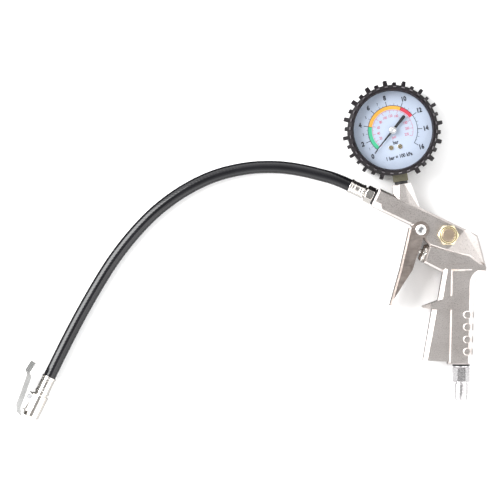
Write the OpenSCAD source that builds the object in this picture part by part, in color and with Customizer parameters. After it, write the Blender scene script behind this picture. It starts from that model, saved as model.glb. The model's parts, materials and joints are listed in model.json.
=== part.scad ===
// Tyre inflator with a gauge, lying on its side.
// X runs from the hose's end towards the back of the handle, Y up along the handle, Z off the surface.
// The origin is under the middle of the gun and gauge, on the surface they lie on.

/* [Pistol body] */
// Height of the gun's mid-plane above the surface it lies on
mid_z = 13.8; // [13.8:0.1:15]
// Downward slope of the barrel, degrees
barrel_slope = 25.5; // [25.5:0.1:26]
// Width of the barrel and the valve housing
barrel_w = 20; // [19.6:0.1:20]
// Height of the barrel
barrel_h = 15.7; // [15.5:0.1:16]
// Width of the thick rear part of the handle
handle_w = 26; // [24:0.5:26]
// Width of the thinner front part of the handle
handle_front_w = 23; // [20:0.5:23.5]
// Edge chamfer of the casting
cast_chamfer = 1.6; // [1:0.1:2]
// How far each grip rib stands out of the handle
rib_rise = 0.8; // [0.4:0.1:0.8]
// Radius of a grip rib's end
rib_r = 2.3; // [1.8:0.1:2.6]

/* [Trigger] */
// Radius of the trigger pin's shaft
pin_r = 2.5; // [2.2:0.1:2.6]
// Running clearance between the pin and the trigger, on the radius
pin_gap = 0.05; // [0.02:0.01:0.08]
// Sheet thickness of the trigger
trigger_t = 1.5; // [1.2:0.1:1.6]
// Radius of the trigger's eye
eye_r = 6.8; // [6.4:0.1:7]

/* [Valves] */
// Outer radius of the gland nut's head
gland_r = 7.7; // [7:0.1:7.8]
// Radius of the valve rod
stem_r = 1.6; // [1.4:0.1:1.8]
// Radius of the valve chamber
chamber_r = 6; // [5.8:0.1:6.2]
// Width across flats of the bleed valve's hexagon
bleed_flats = 15; // [14:0.5:15]
// Radius of the bleed button
button_r = 4.85; // [4.6:0.05:5]

/* [Gauge] */
// Radius of the boot's ring
boot_r = 36; // [35.6:0.1:36.2]
// Radius to the tip of a long lug
long_lug_r = 40; // [39:0.1:40.4]
// Radius to the tip of a short lug
short_lug_r = 38.3; // [37.6:0.1:38.8]
// Radius of the visible window
window_r = 31.4; // [31:0.1:31.6]
// Height of the boot
boot_h = 31.5; // [31:0.1:32]
// Number of lug places around the boot
lug_places = 32; // [32:1:32]
// Tilt of the gauge, degrees
gauge_tilt = 9.4; // [9:0.1:10]

/* [Hose and chuck] */
// Outer diameter of the hose
hose_d = 10; // [9.5:0.1:10.4]
// Outer radius of the crimped ferrules
ferrule_r = 5.8; // [5.6:0.1:6]
// Radius of the chuck's body
chuck_r = 6.6; // [6.4:0.1:6.6]
// Radius of the chuck's mouth, for a tyre valve
mouth_r = 4.1; // [4:0.05:4.2]
// Roll of the chuck about its own axis, degrees
chuck_roll = 24; // [15:1:28]

/* [Inlet] */
// Radius of the inlet plug's nose
nose_r = 5.3; // [5:0.05:5.4]
// Length of the nose's straight part
nose_len = 9; // [8:0.5:9.5]

/* [Hidden] */

// A cut runs this far past the solid it cuts
over = 1;
// Static gap between a threaded piece and its hole, on the radius
thread_gap = 0.05;
// Height of a gap that keeps neighbouring curved faces apart
face_gap = 0.3;
// Facets of a round shape
fine = 96;
small = 48;
coarse = 32;
// Corners of a hexagon
hex_sides = 6;

// Colours
cast_metal = [0.74, 0.71, 0.69];
sheet_metal = [0.62, 0.57, 0.54];
bright_metal = [0.85, 0.85, 0.86];
brass_metal = [0.83, 0.68, 0.36];
dull_brass = [0.55, 0.52, 0.38];
button_tint = [0.8, 0.7, 0.6];
black_rubber = [0.08, 0.08, 0.09];
dial_white = [0.82, 0.87, 0.94];
spring_steel = [0.5, 0.5, 0.52];

// Pivot of the trigger, which is also the origin of the barrel's own frame
pivot = [5.2, 8.6];

// Barrel frame: x back along the barrel, y square to it, 0 at the pivot
nose_x = -44;
bend_top = [33.5, barrel_h];
bend_bottom = [27.8, -6.5];
tail_top = [43.2, barrel_h];
tail_bottom = [59.4, -3.4];
ledge_front = [11.8, -8.5];
barrel_front_len = 9;
tail_land = [[41, 13.2], [49, -4.4], [56.6, -2.2], [43, 14]];
nose_facet_len = 13;
nose_facet_short = 8;
nose_facet_w = 5;
nose_facet_drop = 3;
barrel_axis_y = barrel_h / 2;
air_bore_r = 3;
nose_thread_r = 4.9;
nose_thread_len = 11;
boss_r = 6.2;
bleed_at = [21.5, 5.5];
bleed_bore_r = 5;
bleed_bore_depth = 15;
bleed_hex_h = 4.6;
bleed_hex_turn = 25.5;
thin_wire_r = 0.3;
bleed_lip_r = 6.2;
bleed_lip_h = 0.7;
bleed_top = bleed_hex_h + bleed_lip_h;
bleed_cup_depth = 3.2;
bleed_cup_r = 4.9;
bleed_shank_len = 10;
bleed_shank_bore_r = 3.2;
bleed_floor_t = 2;
bleed_stem_r = 1.4;
bleed_seal_r = 3.8;
bleed_spring_r = 3.2;
button_rise = 0.6;
button_t = 1;
barrel_bore_len = 66;
cross_bore_x = 20;
cross_bore_r = 2;
cross_bore_len = 22;
neck_bore_len = 24;

// Valve line, in the barrel frame
valve_y = -15.4;
housing_face_x = 12.4;
chamber_end_x = 42;
gland_head_t = 4.4;
gland_len = 9;
gland_clear = 6;
seat_x = 26;
seat_t = 3;
seat_hole_r = 3.4;
head_r = 4.6;
head_t = 2.2;
seal_t = 1;
stem_tip_x = 3.1;
valve_spring_r = 3.6;
valve_wire_r = 0.5;
guide_r = 2.4;
guide_len = 2;
gland_pocket_r = 3.4;
gland_pocket_len = 2;
stem_seal_r = 2.5;
stem_seal_wire_r = 0.82;

// Body outline below the barrel
housing_points = [[12.2, -3], [7.2, -17.4], [22, -25], [56.6, -23.4], [57.2, -20.6], [44, -11]];
thick_points = [[28.6, -22], [47.2, -22], [47.2, -36], [45.3, -99], [26.9, -99]];
thick_top_points = [[30.6, -24.4], [44, -24.4], [44, -36], [42.6, -98], [28.9, -98]];
upper_front_points = [[23.8, -20], [32, -20], [32, -58], [17.1, -58]];
upper_front_top_points = [[27.1, -20], [32, -20], [32, -58], [20.7, -58]];
lower_front_points = [[14.2, -55], [32, -55], [30, -97], [7, -96]];
lower_front_top_points = [[18, -55], [32, -55], [30, -96.8], [10.4, -95.9]];
collar_points = [[20.5, -20.6], [28.4, -19.6], [55.9, -19.3], [57.4, -21.2], [56.9, -24.6], [30, -24.6]];
collar_w = 23;
spur_points = [[30, -55.2], [11.4, -54.7], [7.2, -53.9], [7.6, -52], [13, -50.2], [19, -48], [30, -44]];
spur_tip = [7.4, -52.9];
spur_tip_r = 1;
spur_slope_x = 12.7;
spur_tip_x = 6;
spur_tip_w = 6.8;
housing_w = 18.6;
tail_w = 12;
tail_end_w = 7;
back_chamfer = 2.4;
front_depth = 3.2;
fillet_r = 9.6;
fillet_band = 3.2;
fillet_centre = [56.7, -35];
fillet_top_y = -23.9;
fillet_left_x = 40;
rib_x = 41.8;
rib_ys = [-59.3, -69.1, -79, -88.8];
back_lean = 0.03;

// Handle air way
inlet_x = 37.8;
handle_end_y = -99;
inlet_thread_r = 6.3;
inlet_thread_len = 11;
inlet_bore_r = 3.4;
inlet_bore_top = -28;

// Trigger, in plan around the pivot
trigger_inner_w = barrel_w + 0.8;
trigger_outer_w = trigger_inner_w + 2 * trigger_t;
trigger_front = [[-3.9, 10.1], [-11.6, -23.4], [-19.6, -51.8]];
trigger_back = [[-16.4, -47], [-9.6, -36], [-1.6, -23.6], [1.8, -12.5], [5.4, -4], [6.6, 1.4]];
pin_head_r = 4.15;
pin_head_t = 1;
pin_hollow_r = 1.5;
pin_hollow_depth = 4;
clip_r = 4.2;
clip_t = 0.8;
clip_gap_x = 1.2;
clip_gap_w = 1.6;

// Gauge centre and heights above the surface
gauge_centre = [-17.2, 88.1];
boot_floor_t = 1.8;
boot_foot = 1.5;
boot_shoulder = 2.6;
lip_slope = [1, 2];
lug_w = 2.6;
lug_foot_z = 3;
lug_top_z = 24.5;
lug_rise = 0.3;
boot_back_hole_r = 24;
slot_start_r = 44;
slot_len = 20;
case_r = 33.2;
case_wall = 0.8;
case_z = boot_floor_t + 0.2;
case_top = 28.2;
lens_t = 1.6;
lens_z = case_top - lens_t - 0.2;
gasket_z = lens_z - 1.2;
gasket_t = 1.2;
dial_z = 20.4;
dial_t = 0.6;
dial_r = 31.5;
dial_hole_r = 2.4;
dial_screw_at = [[-3.6, -13.6], [3.6, -13.6]];
dial_screw_r = 1.9;
dial_screw_head_t = 0.7;
dial_screw_shank_r = 1.1;
dial_screw_hole_r = 1.2;
pointer_z = 23;
pointer_t = 0.5;
pointer_rest = 222;
pointer_len = 23.4;
pointer_tail_len = 15.1;
pointer_tail_w = 2.7;
pointer_root_w = 1.9;
pointer_tip_w = 0.4;
pointer_tail_root_w = 2.2;
pointer_disc_r = 2.6;
hub_taper = 0.7;
hub_r = 3;
hub_t = 1.5;

// Gauge movement, in the gauge's own frame
gear_module = 0.35;
pinion_teeth = 10;
sector_full_teeth = 80;
pinion_r = gear_module * pinion_teeth / 2;
sector_r = gear_module * sector_full_teeth / 2;
gear_distance = pinion_r + sector_r;
arbor_angle = 230;
arbor_at = gear_distance * [cos(arbor_angle), sin(arbor_angle)];
sector_from = 11;
sector_to = 56;
arbor_r = 0.8;
arbor_gap = 0.05;
back_plate_z = 10.6;
front_plate_z = 16;
plate_t = 1.2;
sector_z = 13;
sector_t = 1;
pinion_z = 12.6;
pinion_t = 1.8;
hairspring_r = [2.3, 5];
hairspring_z = 14.9;
hairspring_h = 0.5;
hairspring_t = 0.16;
tail_angle = -45;
tail_len = 7;
tail_end = arbor_at + tail_len * [cos(tail_angle), sin(tail_angle)];
pillar_at = [[-16, 1], [12, 3]];
pillar_r = 1.6;
pillar_pad_r = 2.4;
plate_outline = [[-17.5, -1], [-17.5, 3], [0, 5], [13.5, 4.5], [13.5, 1], [7, -6], [7, -21.4],
    [-6.4, -21.2], [-14, -16]];
plate_screw_x = 4.2;
plate_screw_y = -19.4;
plate_screw_r = 1.6;
plate_screw_t = 0.9;
tube_r = 24;
tube_half_t = 1.5;
tube_wall = 0.4;
tube_flat = 5;
tube_from = -20;
tube_to = 255;
tip_angle = tube_from;
link_pin_r = 0.6;
link_z = 14.4;
link_t = 0.6;
tip_eye_turn = 14.5;
link_end = tube_r * [cos(tip_angle - tip_eye_turn), sin(tip_angle - tip_eye_turn)];
link_eye_r = 1.4;
link_w = 1.6;
link_gap = 0.3;
tip_eye_r = 1.7;
tip_hole_r = 1.1;
tip_block = [3.8, 2.6];
tip_tab = [4.6, 5.6, 1];

// Gauge stem, along -y of the gauge's frame
neck_top_y = -43.6;
neck_top_r = 7.5;
neck_rim_len = 2;
stem_root = 2;
neck_front_w = 4;
neck_side_w = 6.2;
neck_face_points = [[-25.5, 12.9], [-14.9, 12.1], [-16, 11], [-24, 11]];
neck_foot_points = [[-30, 14], [-6.8, 14], [-6.8, 12], [-29, 12]];
stem_thread_r = 4.8;
stem_thread_len = 9;
stem_flats = 11.6;
stem_flats_y = -41.2;
boot_stem_slot_w = 13;
boot_slot_start_r = 46;
stem_flats_top_y = -31;
socket_top_y = -23;
socket_w = 14;
socket_h = 9;
ledge_top_y = -17.4;
washer_r = 5.2;
stem_bore_r = 1.5;
stem_bore_len = 40;
neck_bore_r = 2;

// Hose fittings at the nose, in the barrel frame
hose_washer_t = 1.4;
hose_washer_r = 6.6;
hose_nut_len = 7;
hose_nut_flats = 12;
neck_groove_len = 1.4;
hose_ferrule_len = 12.6;
nut_thread_len = 9;
barb_r = 2.9;
barb_neck_r = 3.5;
barb_collar_r = 4.6;
barb_reach = 7;
barb_bore_r = 1.5;
ferrule_bore_r = 3.2;

// Route of the hose's centre line, from the gun to the chuck
hose_route = [
    [-51.4, 44.3, 13.8], [-58, 47.3, 13.6], [-66, 50.3, 13], [-75, 52.8, 12], [-85, 55.3, 10.9],
    [-96, 57.5, 9.8], [-107, 58.8, 8.8], [-118, 59.1, 7.9], [-129, 58.6, 7.1], [-140, 57, 6.4],
    [-151, 54.6, 5.8], [-162, 51.1, 5.4], [-173, 46.3, 5.2], [-184, 40.3, 5.1], [-195, 33, 5.1],
    [-206, 24.4, 5.1], [-216, 14.9, 5.1], [-226, 3.9, 5.1], [-236, -8.6, 5.1], [-245, -21.4, 5.1],
    [-254, -36, 5.1], [-262, -49.8, 5.2], [-270, -64.3, 5.5], [-278, -79.7, 6.1],
    [-285, -93.7, 6.6], [-288.8, -101.5, 6.7], [-292.6, -109.4, 6.7]];
hose_sides = 10;

// Chuck: x along its axis from the hose's end, lever on its -y side
chuck_at = hose_route[len(hose_route) - 1];
chuck_angle = -115.7;
chuck_ferrule_len = 14.6;
chuck_end = 35.6;
chuck_mouth_len = 6.6;
seal_len = 2.2;
seal_hole_r = 2.6;
seal_groove_r = 4.8;
seal_groove_len = 2.6;
plunger_pocket_r = 2.5;
plunger_pocket_len = 2.6;
side_block_y = -8.2;
side_block_from = 17;
side_block_to = 32.4;
side_block_w = 9;
lever_pin_at = [20.6, -10.4];
lever_pin_r = 1.25;
lever_t = 1.1;
lever_w = 12;
lever_line = [[-5.8, -17.4], [3.2, -18.6], [5.6, -15.6], [15.4, -14.4], [20.6, -13.8],
    [31.4, -12.8], [36.6, -9.8], [37.6, -5.6]];
lever_ear = [[16.4, -14.1], [20.6, -13.6], [31, -12.9], [31, -9.8], [22.6, -8.4], [18.2, -8.4]];
lever_head_r = 1.85;
lever_head_t = 0.6;
lever_spring_r = 1.7;
lever_spring_wire_r = 0.35;
lever_spring_z = [2.3, 3.2];
knuckle_r = 2.4;
knuckle_w = 3.4;
plunger_disc_r = 2.2;
plunger_disc_t = 1.2;
plunger_from_x = 18;
plunger_tip_x = 28.6;

// Inlet plug, along -Y from the handle's end
plug_neck_len = 2.4;
plug_hex_flats = 12;
plug_hex_len = 12;
plug_groove_len = 1.4;
plug_groove_r = 4.4;
plug_tip_len = 4.2;
plug_tip_r = 4.6;
plug_bore_r = 2.5;
plug_bore_len = 60;
washer_outer_r = 6.9;
washer_t = 1.5;
filter_len = 2;

// --- Shared shapes ---------------------------------------------------------------------------

// Puts children in the barrel's frame, with the mid-plane at z = 0
module in_barrel() {
    translate([pivot[0], pivot[1], mid_z]) rotate([0, 0, -barrel_slope]) children();
}

// Puts children in the handle's frame: plan axes, with the mid-plane at z = 0
module in_plan() {
    translate([0, 0, mid_z]) children();
}

// Puts children in the gauge's frame, on the surface
module in_gauge() {
    translate([gauge_centre[0], gauge_centre[1], 0]) rotate([0, 0, gauge_tilt]) children();
}

// Puts children on the chuck's axis
module in_chuck() {
    translate(chuck_at) rotate([0, 0, chuck_angle]) rotate([-chuck_roll, 0, 0]) children();
}

// A round bar along x
module bar_x(x, y, r, len, sides = small) {
    translate([x, y, 0]) rotate([0, 90, 0]) cylinder(r = r, h = len, $fn = sides);
}

// A round bar along -y from y
module bar_down(x, y, r, len, sides = small) {
    translate([x, y, 0]) rotate([90, 0, 0]) cylinder(r = r, h = len, $fn = sides);
}

// A tube from z upward
module ring(r_out, r_in, z, h, sides = fine) {
    translate([0, 0, z]) difference() {
        cylinder(r = r_out, h = h, $fn = sides);
        translate([0, 0, -over]) cylinder(r = r_in, h = h + 2 * over, $fn = sides);
    }
}

// A prism of the given width, centred on z = 0
module slab(points, width) {
    translate([0, 0, -width / 2]) linear_extrude(width) polygon(points);
}

// The same prism with its outline drawn in by inset
module inset_slab(points, width, inset) {
    translate([0, 0, -width / 2]) linear_extrude(width) offset(delta = -inset) polygon(points);
}

// A convex prism that narrows over its outer depth to its top outline
module raised(points, top_points, width, depth) {
    hull() {
        slab(points, width - 2 * depth);
        slab(top_points, width);
    }
}

// A convex prism with chamfered edges
module chamfered(points, width, chamfer) {
    hull() {
        slab(points, width - 2 * chamfer);
        inset_slab(points, width, chamfer);
    }
}

// Turns of a round wire, as touching-free rings joined by a slim back rail
module coil_x(x, r, wire_r, turns, len) {
    pitch = len / turns;
    for (i = [0:turns - 1])
        translate([x + pitch * (i + 0.5), 0, 0]) rotate([0, 90, 0])
            rotate_extrude($fn = small) translate([r, 0]) circle(wire_r, $fn = 16);
    translate([x + pitch / 2, -wire_r / 2, r - wire_r / 2]) cube([len - pitch, wire_r, wire_r]);
}

function unit(v) = v / norm(v);

// Direction of the route at point i
function heading(p, i) = unit(p[min(i + 1, len(p) - 1)] - p[max(i - 1, 0)]);

// A level vector square to the heading
function sideways(h) = unit([-h[1], h[0], 0]);

// One ring of a swept tube
function ring_points(c, h, r, sides) = let (s = sideways(h), u = cross(h, s))
    [for (k = [0:sides - 1]) c + r * cos(360 * k / sides) * s + r * sin(360 * k / sides) * u];

// Side faces between two rings
function tube_faces(rings, sides) = [for (i = [0:rings - 2], k = [0:sides - 1])
    let (a = i * sides + k, b = i * sides + (k + 1) % sides) [a, b, b + sides, a + sides]];

// A closed tube swept along a route
module swept_tube(route, d, sides) {
    rings = len(route);
    points = [for (i = [0:rings - 1]) each ring_points(route[i], heading(route, i), d / 2, sides)];
    first_cap = [for (k = [0:sides - 1]) sides - 1 - k];
    last_cap = [for (k = [0:sides - 1]) (rings - 1) * sides + k];
    polyhedron(points, [first_cap, each tube_faces(rings, sides), last_cap]);
}

// Polygon of a strip of width w along a line of points
function strip_side(p, w) = [for (i = [0:len(p) - 1]) let (h = heading(p, i)) p[i] + w * [-h[1], h[0]]];
function strip(p, w) = concat(strip_side(p, w / 2), [for (q = [len(p) - 1:-1:0]) strip_side(p, -w / 2)[q]]);

// Spiral line of a flat spring
function spiral(r0, r1, turns, steps) = [for (i = [0:steps])
    let (t = i / steps, a = 360 * turns * t, r = r0 + (r1 - r0) * t) [r * cos(a), r * sin(a)]];

// --- Pistol body -----------------------------------------------------------------------------

module barrel_shapes() {
    front = [[nose_x, 0], [barrel_front_len, 0], [barrel_front_len, barrel_h], [nose_x, barrel_h]];
    chamfered(front, barrel_w, cast_chamfer);
    middle = [[-barrel_front_len, 0], ledge_front, bend_bottom, bend_top, [-barrel_front_len, barrel_h]];
    tail = [bend_top, bend_bottom, tail_bottom, tail_top];
    hull() {
        slab(middle, barrel_w - 2 * cast_chamfer);
        inset_slab(middle, barrel_w, cast_chamfer);
        slab(tail_land, tail_w);
        slab(tail, tail_end_w);
    }
    cylinder(r = boss_r, h = barrel_w, center = true, $fn = fine);
}

// The neck's front starts flush with the barrel's face and narrows up to the gauge's stem
module neck() {
    hull() {
        in_gauge() translate([0, neck_top_y, mid_z]) rotate([90, 0, 0])
            linear_extrude(neck_rim_len) neck_section();
        in_barrel() slab(neck_face_points, barrel_w);
        in_barrel() slab(neck_foot_points, barrel_w - 2 * cast_chamfer);
    }
}

// An octagon with narrow front and back flats
module neck_section() {
    flat = neck_front_w / 2;
    polygon([for (sx = [1, -1]) each [for (sz = [-1, 1]) each sx * sz > 0
        ? [[sx * flat, sz * neck_top_r], [sx * neck_top_r, sz * neck_side_w / 2]]
        : [[sx * neck_top_r, sz * neck_side_w / 2], [sx * flat, sz * neck_top_r]]]]);
}

module handle_shapes() {
    chamfered(housing_points, housing_w, cast_chamfer);
    raised(thick_points, thick_top_points, handle_w, back_chamfer);
    raised(upper_front_points, upper_front_top_points, handle_front_w, front_depth);
    raised(lower_front_points, lower_front_top_points, handle_front_w, front_depth);
    slab(collar_points, collar_w);
    spur();
    tail_fillet();
    for (y = rib_ys) grip_rib(y);
}

// The finger spur: as wide as the handle, sloping down to its tip
module spur() {
    intersection() {
        union() {
            slab(spur_points, handle_w);
            translate(spur_tip) cylinder(r = spur_tip_r, h = handle_w, center = true, $fn = small);
        }
        translate([0, fillet_centre[1], 0]) rotate([90, 0, 0]) linear_extrude(handle_w)
            polygon([[inlet_x, handle_w / 2], [spur_slope_x, handle_w / 2], [spur_tip_x, spur_tip_w / 2],
                [spur_tip_x, -spur_tip_w / 2], [spur_slope_x, -handle_w / 2], [inlet_x, -handle_w / 2]]);
    }
}

// Curved web between the tail of the body and the back of the handle, with a chamfer along its arc
module tail_fillet() {
    straight = handle_w - 2 * back_chamfer;
    difference() {
        translate([fillet_left_x, fillet_centre[1], -handle_w / 2])
            cube([fillet_centre[0] - fillet_left_x, fillet_top_y - fillet_centre[1], handle_w]);
        translate(fillet_centre) {
            cylinder(r = fillet_r, h = handle_w + 2 * over, center = true, $fn = fine);
            for (s = [0, 1]) mirror([0, 0, s]) translate([0, 0, straight / 2])
                cylinder(r1 = fillet_r, r2 = fillet_r + fillet_band, h = back_chamfer, $fn = fine);
            for (s = [0, 1]) mirror([0, 0, s]) translate([0, 0, handle_w / 2])
                cylinder(r = fillet_r + fillet_band, h = over, $fn = fine);
        }
    }
}

// A round-ended rib on each side of the handle, joined by a band around its back
module grip_rib(y) {
    back = thick_points[3][0] + (y - handle_end_y) * back_lean;
    side_len = back - fillet_band + rib_rise - rib_x;
    foot_r = rib_r + rib_rise;
    for (s = [0, 1]) mirror([0, 0, s]) translate([rib_x, y, handle_w / 2]) {
        cylinder(r1 = foot_r, r2 = rib_r, h = rib_rise, $fn = small);
        rotate([90, 0, 90]) linear_extrude(side_len)
            polygon([[-foot_r, 0], [foot_r, 0], [rib_r, rib_rise], [-rib_r, rib_rise]]);
    }
    w = handle_w - 2 * back_chamfer;
    translate([rib_x, y - rib_r, -w / 2]) cube([back + rib_rise - rib_x, 2 * rib_r, w]);
}

// Wide facets on the lower side of the nose
module nose_facets() {
    for (s = [0, 1]) mirror([0, 0, s])
        translate([nose_x - over, 0, barrel_w / 2 - nose_facet_drop])
            rotate([atan2(nose_facet_drop, nose_facet_w), 0, 0])
            linear_extrude(2 * nose_facet_w) polygon([[0, -nose_facet_w], [nose_facet_len, -nose_facet_w],
                [nose_facet_len, 0], [nose_facet_short, nose_facet_w], [nose_facet_short, 2 * nose_facet_w],
                [0, 2 * nose_facet_w]]);
}

module air_ways() {
    in_barrel() {
        nose_facets();
        bar_x(nose_x - over, barrel_axis_y, nose_thread_r + thread_gap, nose_thread_len + over);
        bar_x(nose_x, barrel_axis_y, air_bore_r, barrel_bore_len);
        bar_x(housing_face_x - gland_clear, valve_y, chamber_r + thread_gap,
            chamber_end_x - housing_face_x + gland_clear);
        translate([cross_bore_x, valve_y, 0]) rotate([-90, 0, 0])
            cylinder(r = cross_bore_r, h = cross_bore_len, $fn = small);
        translate([bleed_at[0], bleed_at[1], barrel_w / 2 - bleed_bore_depth])
            cylinder(r = bleed_bore_r + thread_gap, h = bleed_bore_depth + over, $fn = small);
        cylinder(r = pin_r, h = barrel_w + 2 * over, center = true, $fn = small);
    }
    in_gauge() translate([0, 0, mid_z]) {
        bar_down(0, neck_top_y + over, stem_thread_r + thread_gap, stem_thread_len + stem_root + over);
        bar_down(0, neck_top_y, neck_bore_r, neck_bore_len);
    }
    in_plan() {
        translate([inlet_x, handle_end_y - over, 0]) rotate([-90, 0, 0])
            cylinder(r = inlet_thread_r + thread_gap, h = inlet_thread_len + over, $fn = small);
        translate([inlet_x, handle_end_y, 0]) rotate([-90, 0, 0])
            cylinder(r = inlet_bore_r, h = inlet_bore_top - handle_end_y, $fn = small);
    }
}

module gun_body() {
    color(cast_metal) difference() {
        union() {
            in_barrel() barrel_shapes();
            neck();
            in_plan() handle_shapes();
        }
        air_ways();
    }
}

// --- Trigger ---------------------------------------------------------------------------------

module trigger_plate(z) {
    translate([0, 0, mid_z + z]) linear_extrude(trigger_t) difference() {
        union() {
            polygon(concat(trigger_front, trigger_back, [pivot]));
            translate(pivot) circle(eye_r, $fn = fine);
        }
        translate(pivot) circle(pin_r + pin_gap, $fn = small);
    }
}

module trigger() {
    color(sheet_metal) {
        trigger_plate(trigger_inner_w / 2);
        trigger_plate(-trigger_outer_w / 2);
        in_plan() slab(strip_between(trigger_front, trigger_t), trigger_outer_w);
    }
}

// The channel's web: the front line and its copy moved back by the sheet's thickness
function strip_between(p, t) = concat(p, [for (i = [len(p) - 1:-1:0]) p[i] + [t, -t / 4]]);

module trigger_pin() {
    head_z = trigger_outer_w / 2 + 0.1;
    color(bright_metal) in_barrel() difference() {
        union() {
            translate([0, 0, -head_z - clip_t - 0.2])
                cylinder(r = pin_r, h = 2 * head_z + clip_t + 0.3, $fn = small);
            translate([0, 0, head_z]) cylinder(r = pin_head_r, h = pin_head_t, $fn = small);
        }
        translate([0, 0, head_z + pin_head_t - pin_hollow_depth])
            cylinder(r = pin_hollow_r, h = pin_hollow_depth + over, $fn = small);
    }
}

module trigger_pin_clip() {
    head_z = trigger_outer_w / 2 + 0.1;
    color(spring_steel) in_barrel() difference() {
        ring(clip_r, pin_r, -head_z - clip_t, clip_t, small);
        translate([clip_gap_x, -clip_gap_w / 2, -head_z - clip_t - over])
            cube([clip_r, clip_gap_w, clip_t + 2 * over]);
    }
}

// --- Trigger valve ---------------------------------------------------------------------------

module on_valve_line() {
    in_barrel() translate([0, valve_y, 0]) children();
}

module valve_gland_nut() {
    head_x = housing_face_x - gland_head_t;
    color(bright_metal) on_valve_line() difference() {
        union() {
            bar_x(head_x, 0, gland_r, gland_head_t);
            bar_x(housing_face_x, 0, chamber_r, gland_len);
        }
        bar_x(head_x - over, 0, stem_r + pin_gap, gland_len + gland_head_t + 2 * over);
        bar_x(housing_face_x + gland_len - gland_pocket_len, 0, gland_pocket_r, gland_pocket_len + over);
    }
}

module valve_stem_seal() {
    color(black_rubber) on_valve_line()
        translate([housing_face_x + gland_len - gland_pocket_len / 2, 0, 0]) rotate([0, 90, 0])
            rotate_extrude($fn = small) translate([stem_seal_r, 0]) circle(stem_seal_wire_r, $fn = 24);
}

module valve_seat() {
    color(brass_metal) on_valve_line() difference() {
        bar_x(seat_x, 0, chamber_r, seat_t);
        bar_x(seat_x - over, 0, seat_hole_r, seat_t + 2 * over);
    }
}

module valve_stem() {
    head_x = seat_x + seat_t + seal_t;
    color(bright_metal) on_valve_line() {
        bar_x(stem_tip_x, 0, stem_r, head_x - stem_tip_x + head_t);
        bar_x(head_x, 0, head_r, head_t);
        bar_x(head_x + head_t, 0, guide_r, guide_len);
    }
}

module valve_head_seal() {
    color(black_rubber) on_valve_line() difference() {
        bar_x(seat_x + seat_t, 0, head_r, seal_t);
        bar_x(seat_x + seat_t - over, 0, stem_r, seal_t + 2 * over);
    }
}

module valve_spring() {
    from = seat_x + seat_t + seal_t + head_t;
    color(spring_steel) on_valve_line()
        coil_x(from, valve_spring_r, valve_wire_r, 5, chamber_end_x - from);
}

// --- Bleed valve -----------------------------------------------------------------------------

module on_bleed_axis() {
    in_barrel() translate([bleed_at[0], bleed_at[1], barrel_w / 2]) children();
}

module bleed_valve_collar() {
    color(brass_metal) on_bleed_axis() difference() {
        union() {
            rotate([0, 0, bleed_hex_turn])
                cylinder(d = bleed_flats / cos(30), h = bleed_hex_h, $fn = hex_sides);
            cylinder(r = bleed_lip_r, h = bleed_top, $fn = small);
            translate([0, 0, -bleed_shank_len]) cylinder(r = bleed_bore_r, h = bleed_shank_len, $fn = small);
        }
        translate([0, 0, bleed_top - bleed_cup_depth])
            cylinder(r = bleed_cup_r, h = bleed_cup_depth + over, $fn = small);
        translate([0, 0, -bleed_shank_len - over])
            cylinder(r = bleed_shank_bore_r, h = bleed_shank_len + over - bleed_floor_t, $fn = small);
        translate([0, 0, -bleed_floor_t - over])
            cylinder(r = bleed_stem_r + pin_gap, h = bleed_floor_t + bleed_hex_h + over, $fn = small);
    }
}

module bleed_button() {
    low = bleed_top + button_rise - button_t;
    color(button_tint) on_bleed_axis() {
        translate([0, 0, low]) cylinder(r = button_r, h = button_t, $fn = small);
        translate([0, 0, -bleed_shank_len - seal_t])
            cylinder(r = bleed_stem_r, h = low + bleed_shank_len + seal_t, $fn = small);
    }
}

module bleed_spring() {
    low = bleed_top - bleed_cup_depth;
    color(spring_steel) on_bleed_axis() rotate([0, -90, 0])
        coil_x(low, bleed_spring_r, thin_wire_r, 3, bleed_top + button_rise - button_t - low);
}

module bleed_seal() {
    color(black_rubber) on_bleed_axis()
        ring(bleed_seal_r, bleed_stem_r, -bleed_shank_len - seal_t, seal_t, small);
}

// --- Gauge: stem, case, boot -----------------------------------------------------------------

// A block from just below the top of the flats up to top_y, on the socket's floor
module stem_block(top_y, h) {
    from = stem_flats_top_y - 0.2;
    translate([-socket_w / 2, from, -socket_h / 2]) cube([socket_w, top_y - from, h]);
}

module gauge_stem() {
    color(dull_brass) in_gauge() translate([0, 0, mid_z]) difference() {
        union() {
            bar_down(0, neck_top_y, stem_thread_r, stem_thread_len);
            bar_down(0, stem_flats_y, stem_thread_r, stem_flats_y - neck_top_y);
            translate([-stem_flats / 2, stem_flats_y, -stem_flats / 2])
                cube([stem_flats, stem_flats_top_y - stem_flats_y, stem_flats]);
            stem_block(socket_top_y, socket_h);
            stem_block(ledge_top_y, back_plate_z - mid_z + socket_h / 2);
        }
        bar_down(0, socket_top_y - 2, stem_bore_r, stem_bore_len);
    }
}

module gauge_seal_washer() {
    color(black_rubber) in_gauge() translate([0, neck_top_y, mid_z]) rotate([-90, 0, 0])
        ring(washer_r, stem_thread_r + thread_gap, 0, stem_flats_y - neck_top_y, small);
}

module stem_slot(w, r) {
    translate([-w / 2, -r, mid_z - w / 2]) cube([w, slot_len, w]);
}

module gauge_case() {
    inner = case_r - case_wall;
    color(black_rubber) in_gauge() difference() {
        translate([0, 0, case_z]) cylinder(r = case_r, h = case_top - case_z, $fn = fine);
        translate([0, 0, case_z + case_wall]) cylinder(r = inner, h = case_top, $fn = fine);
        stem_slot(stem_flats + 0.2, slot_start_r);
    }
}

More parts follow.
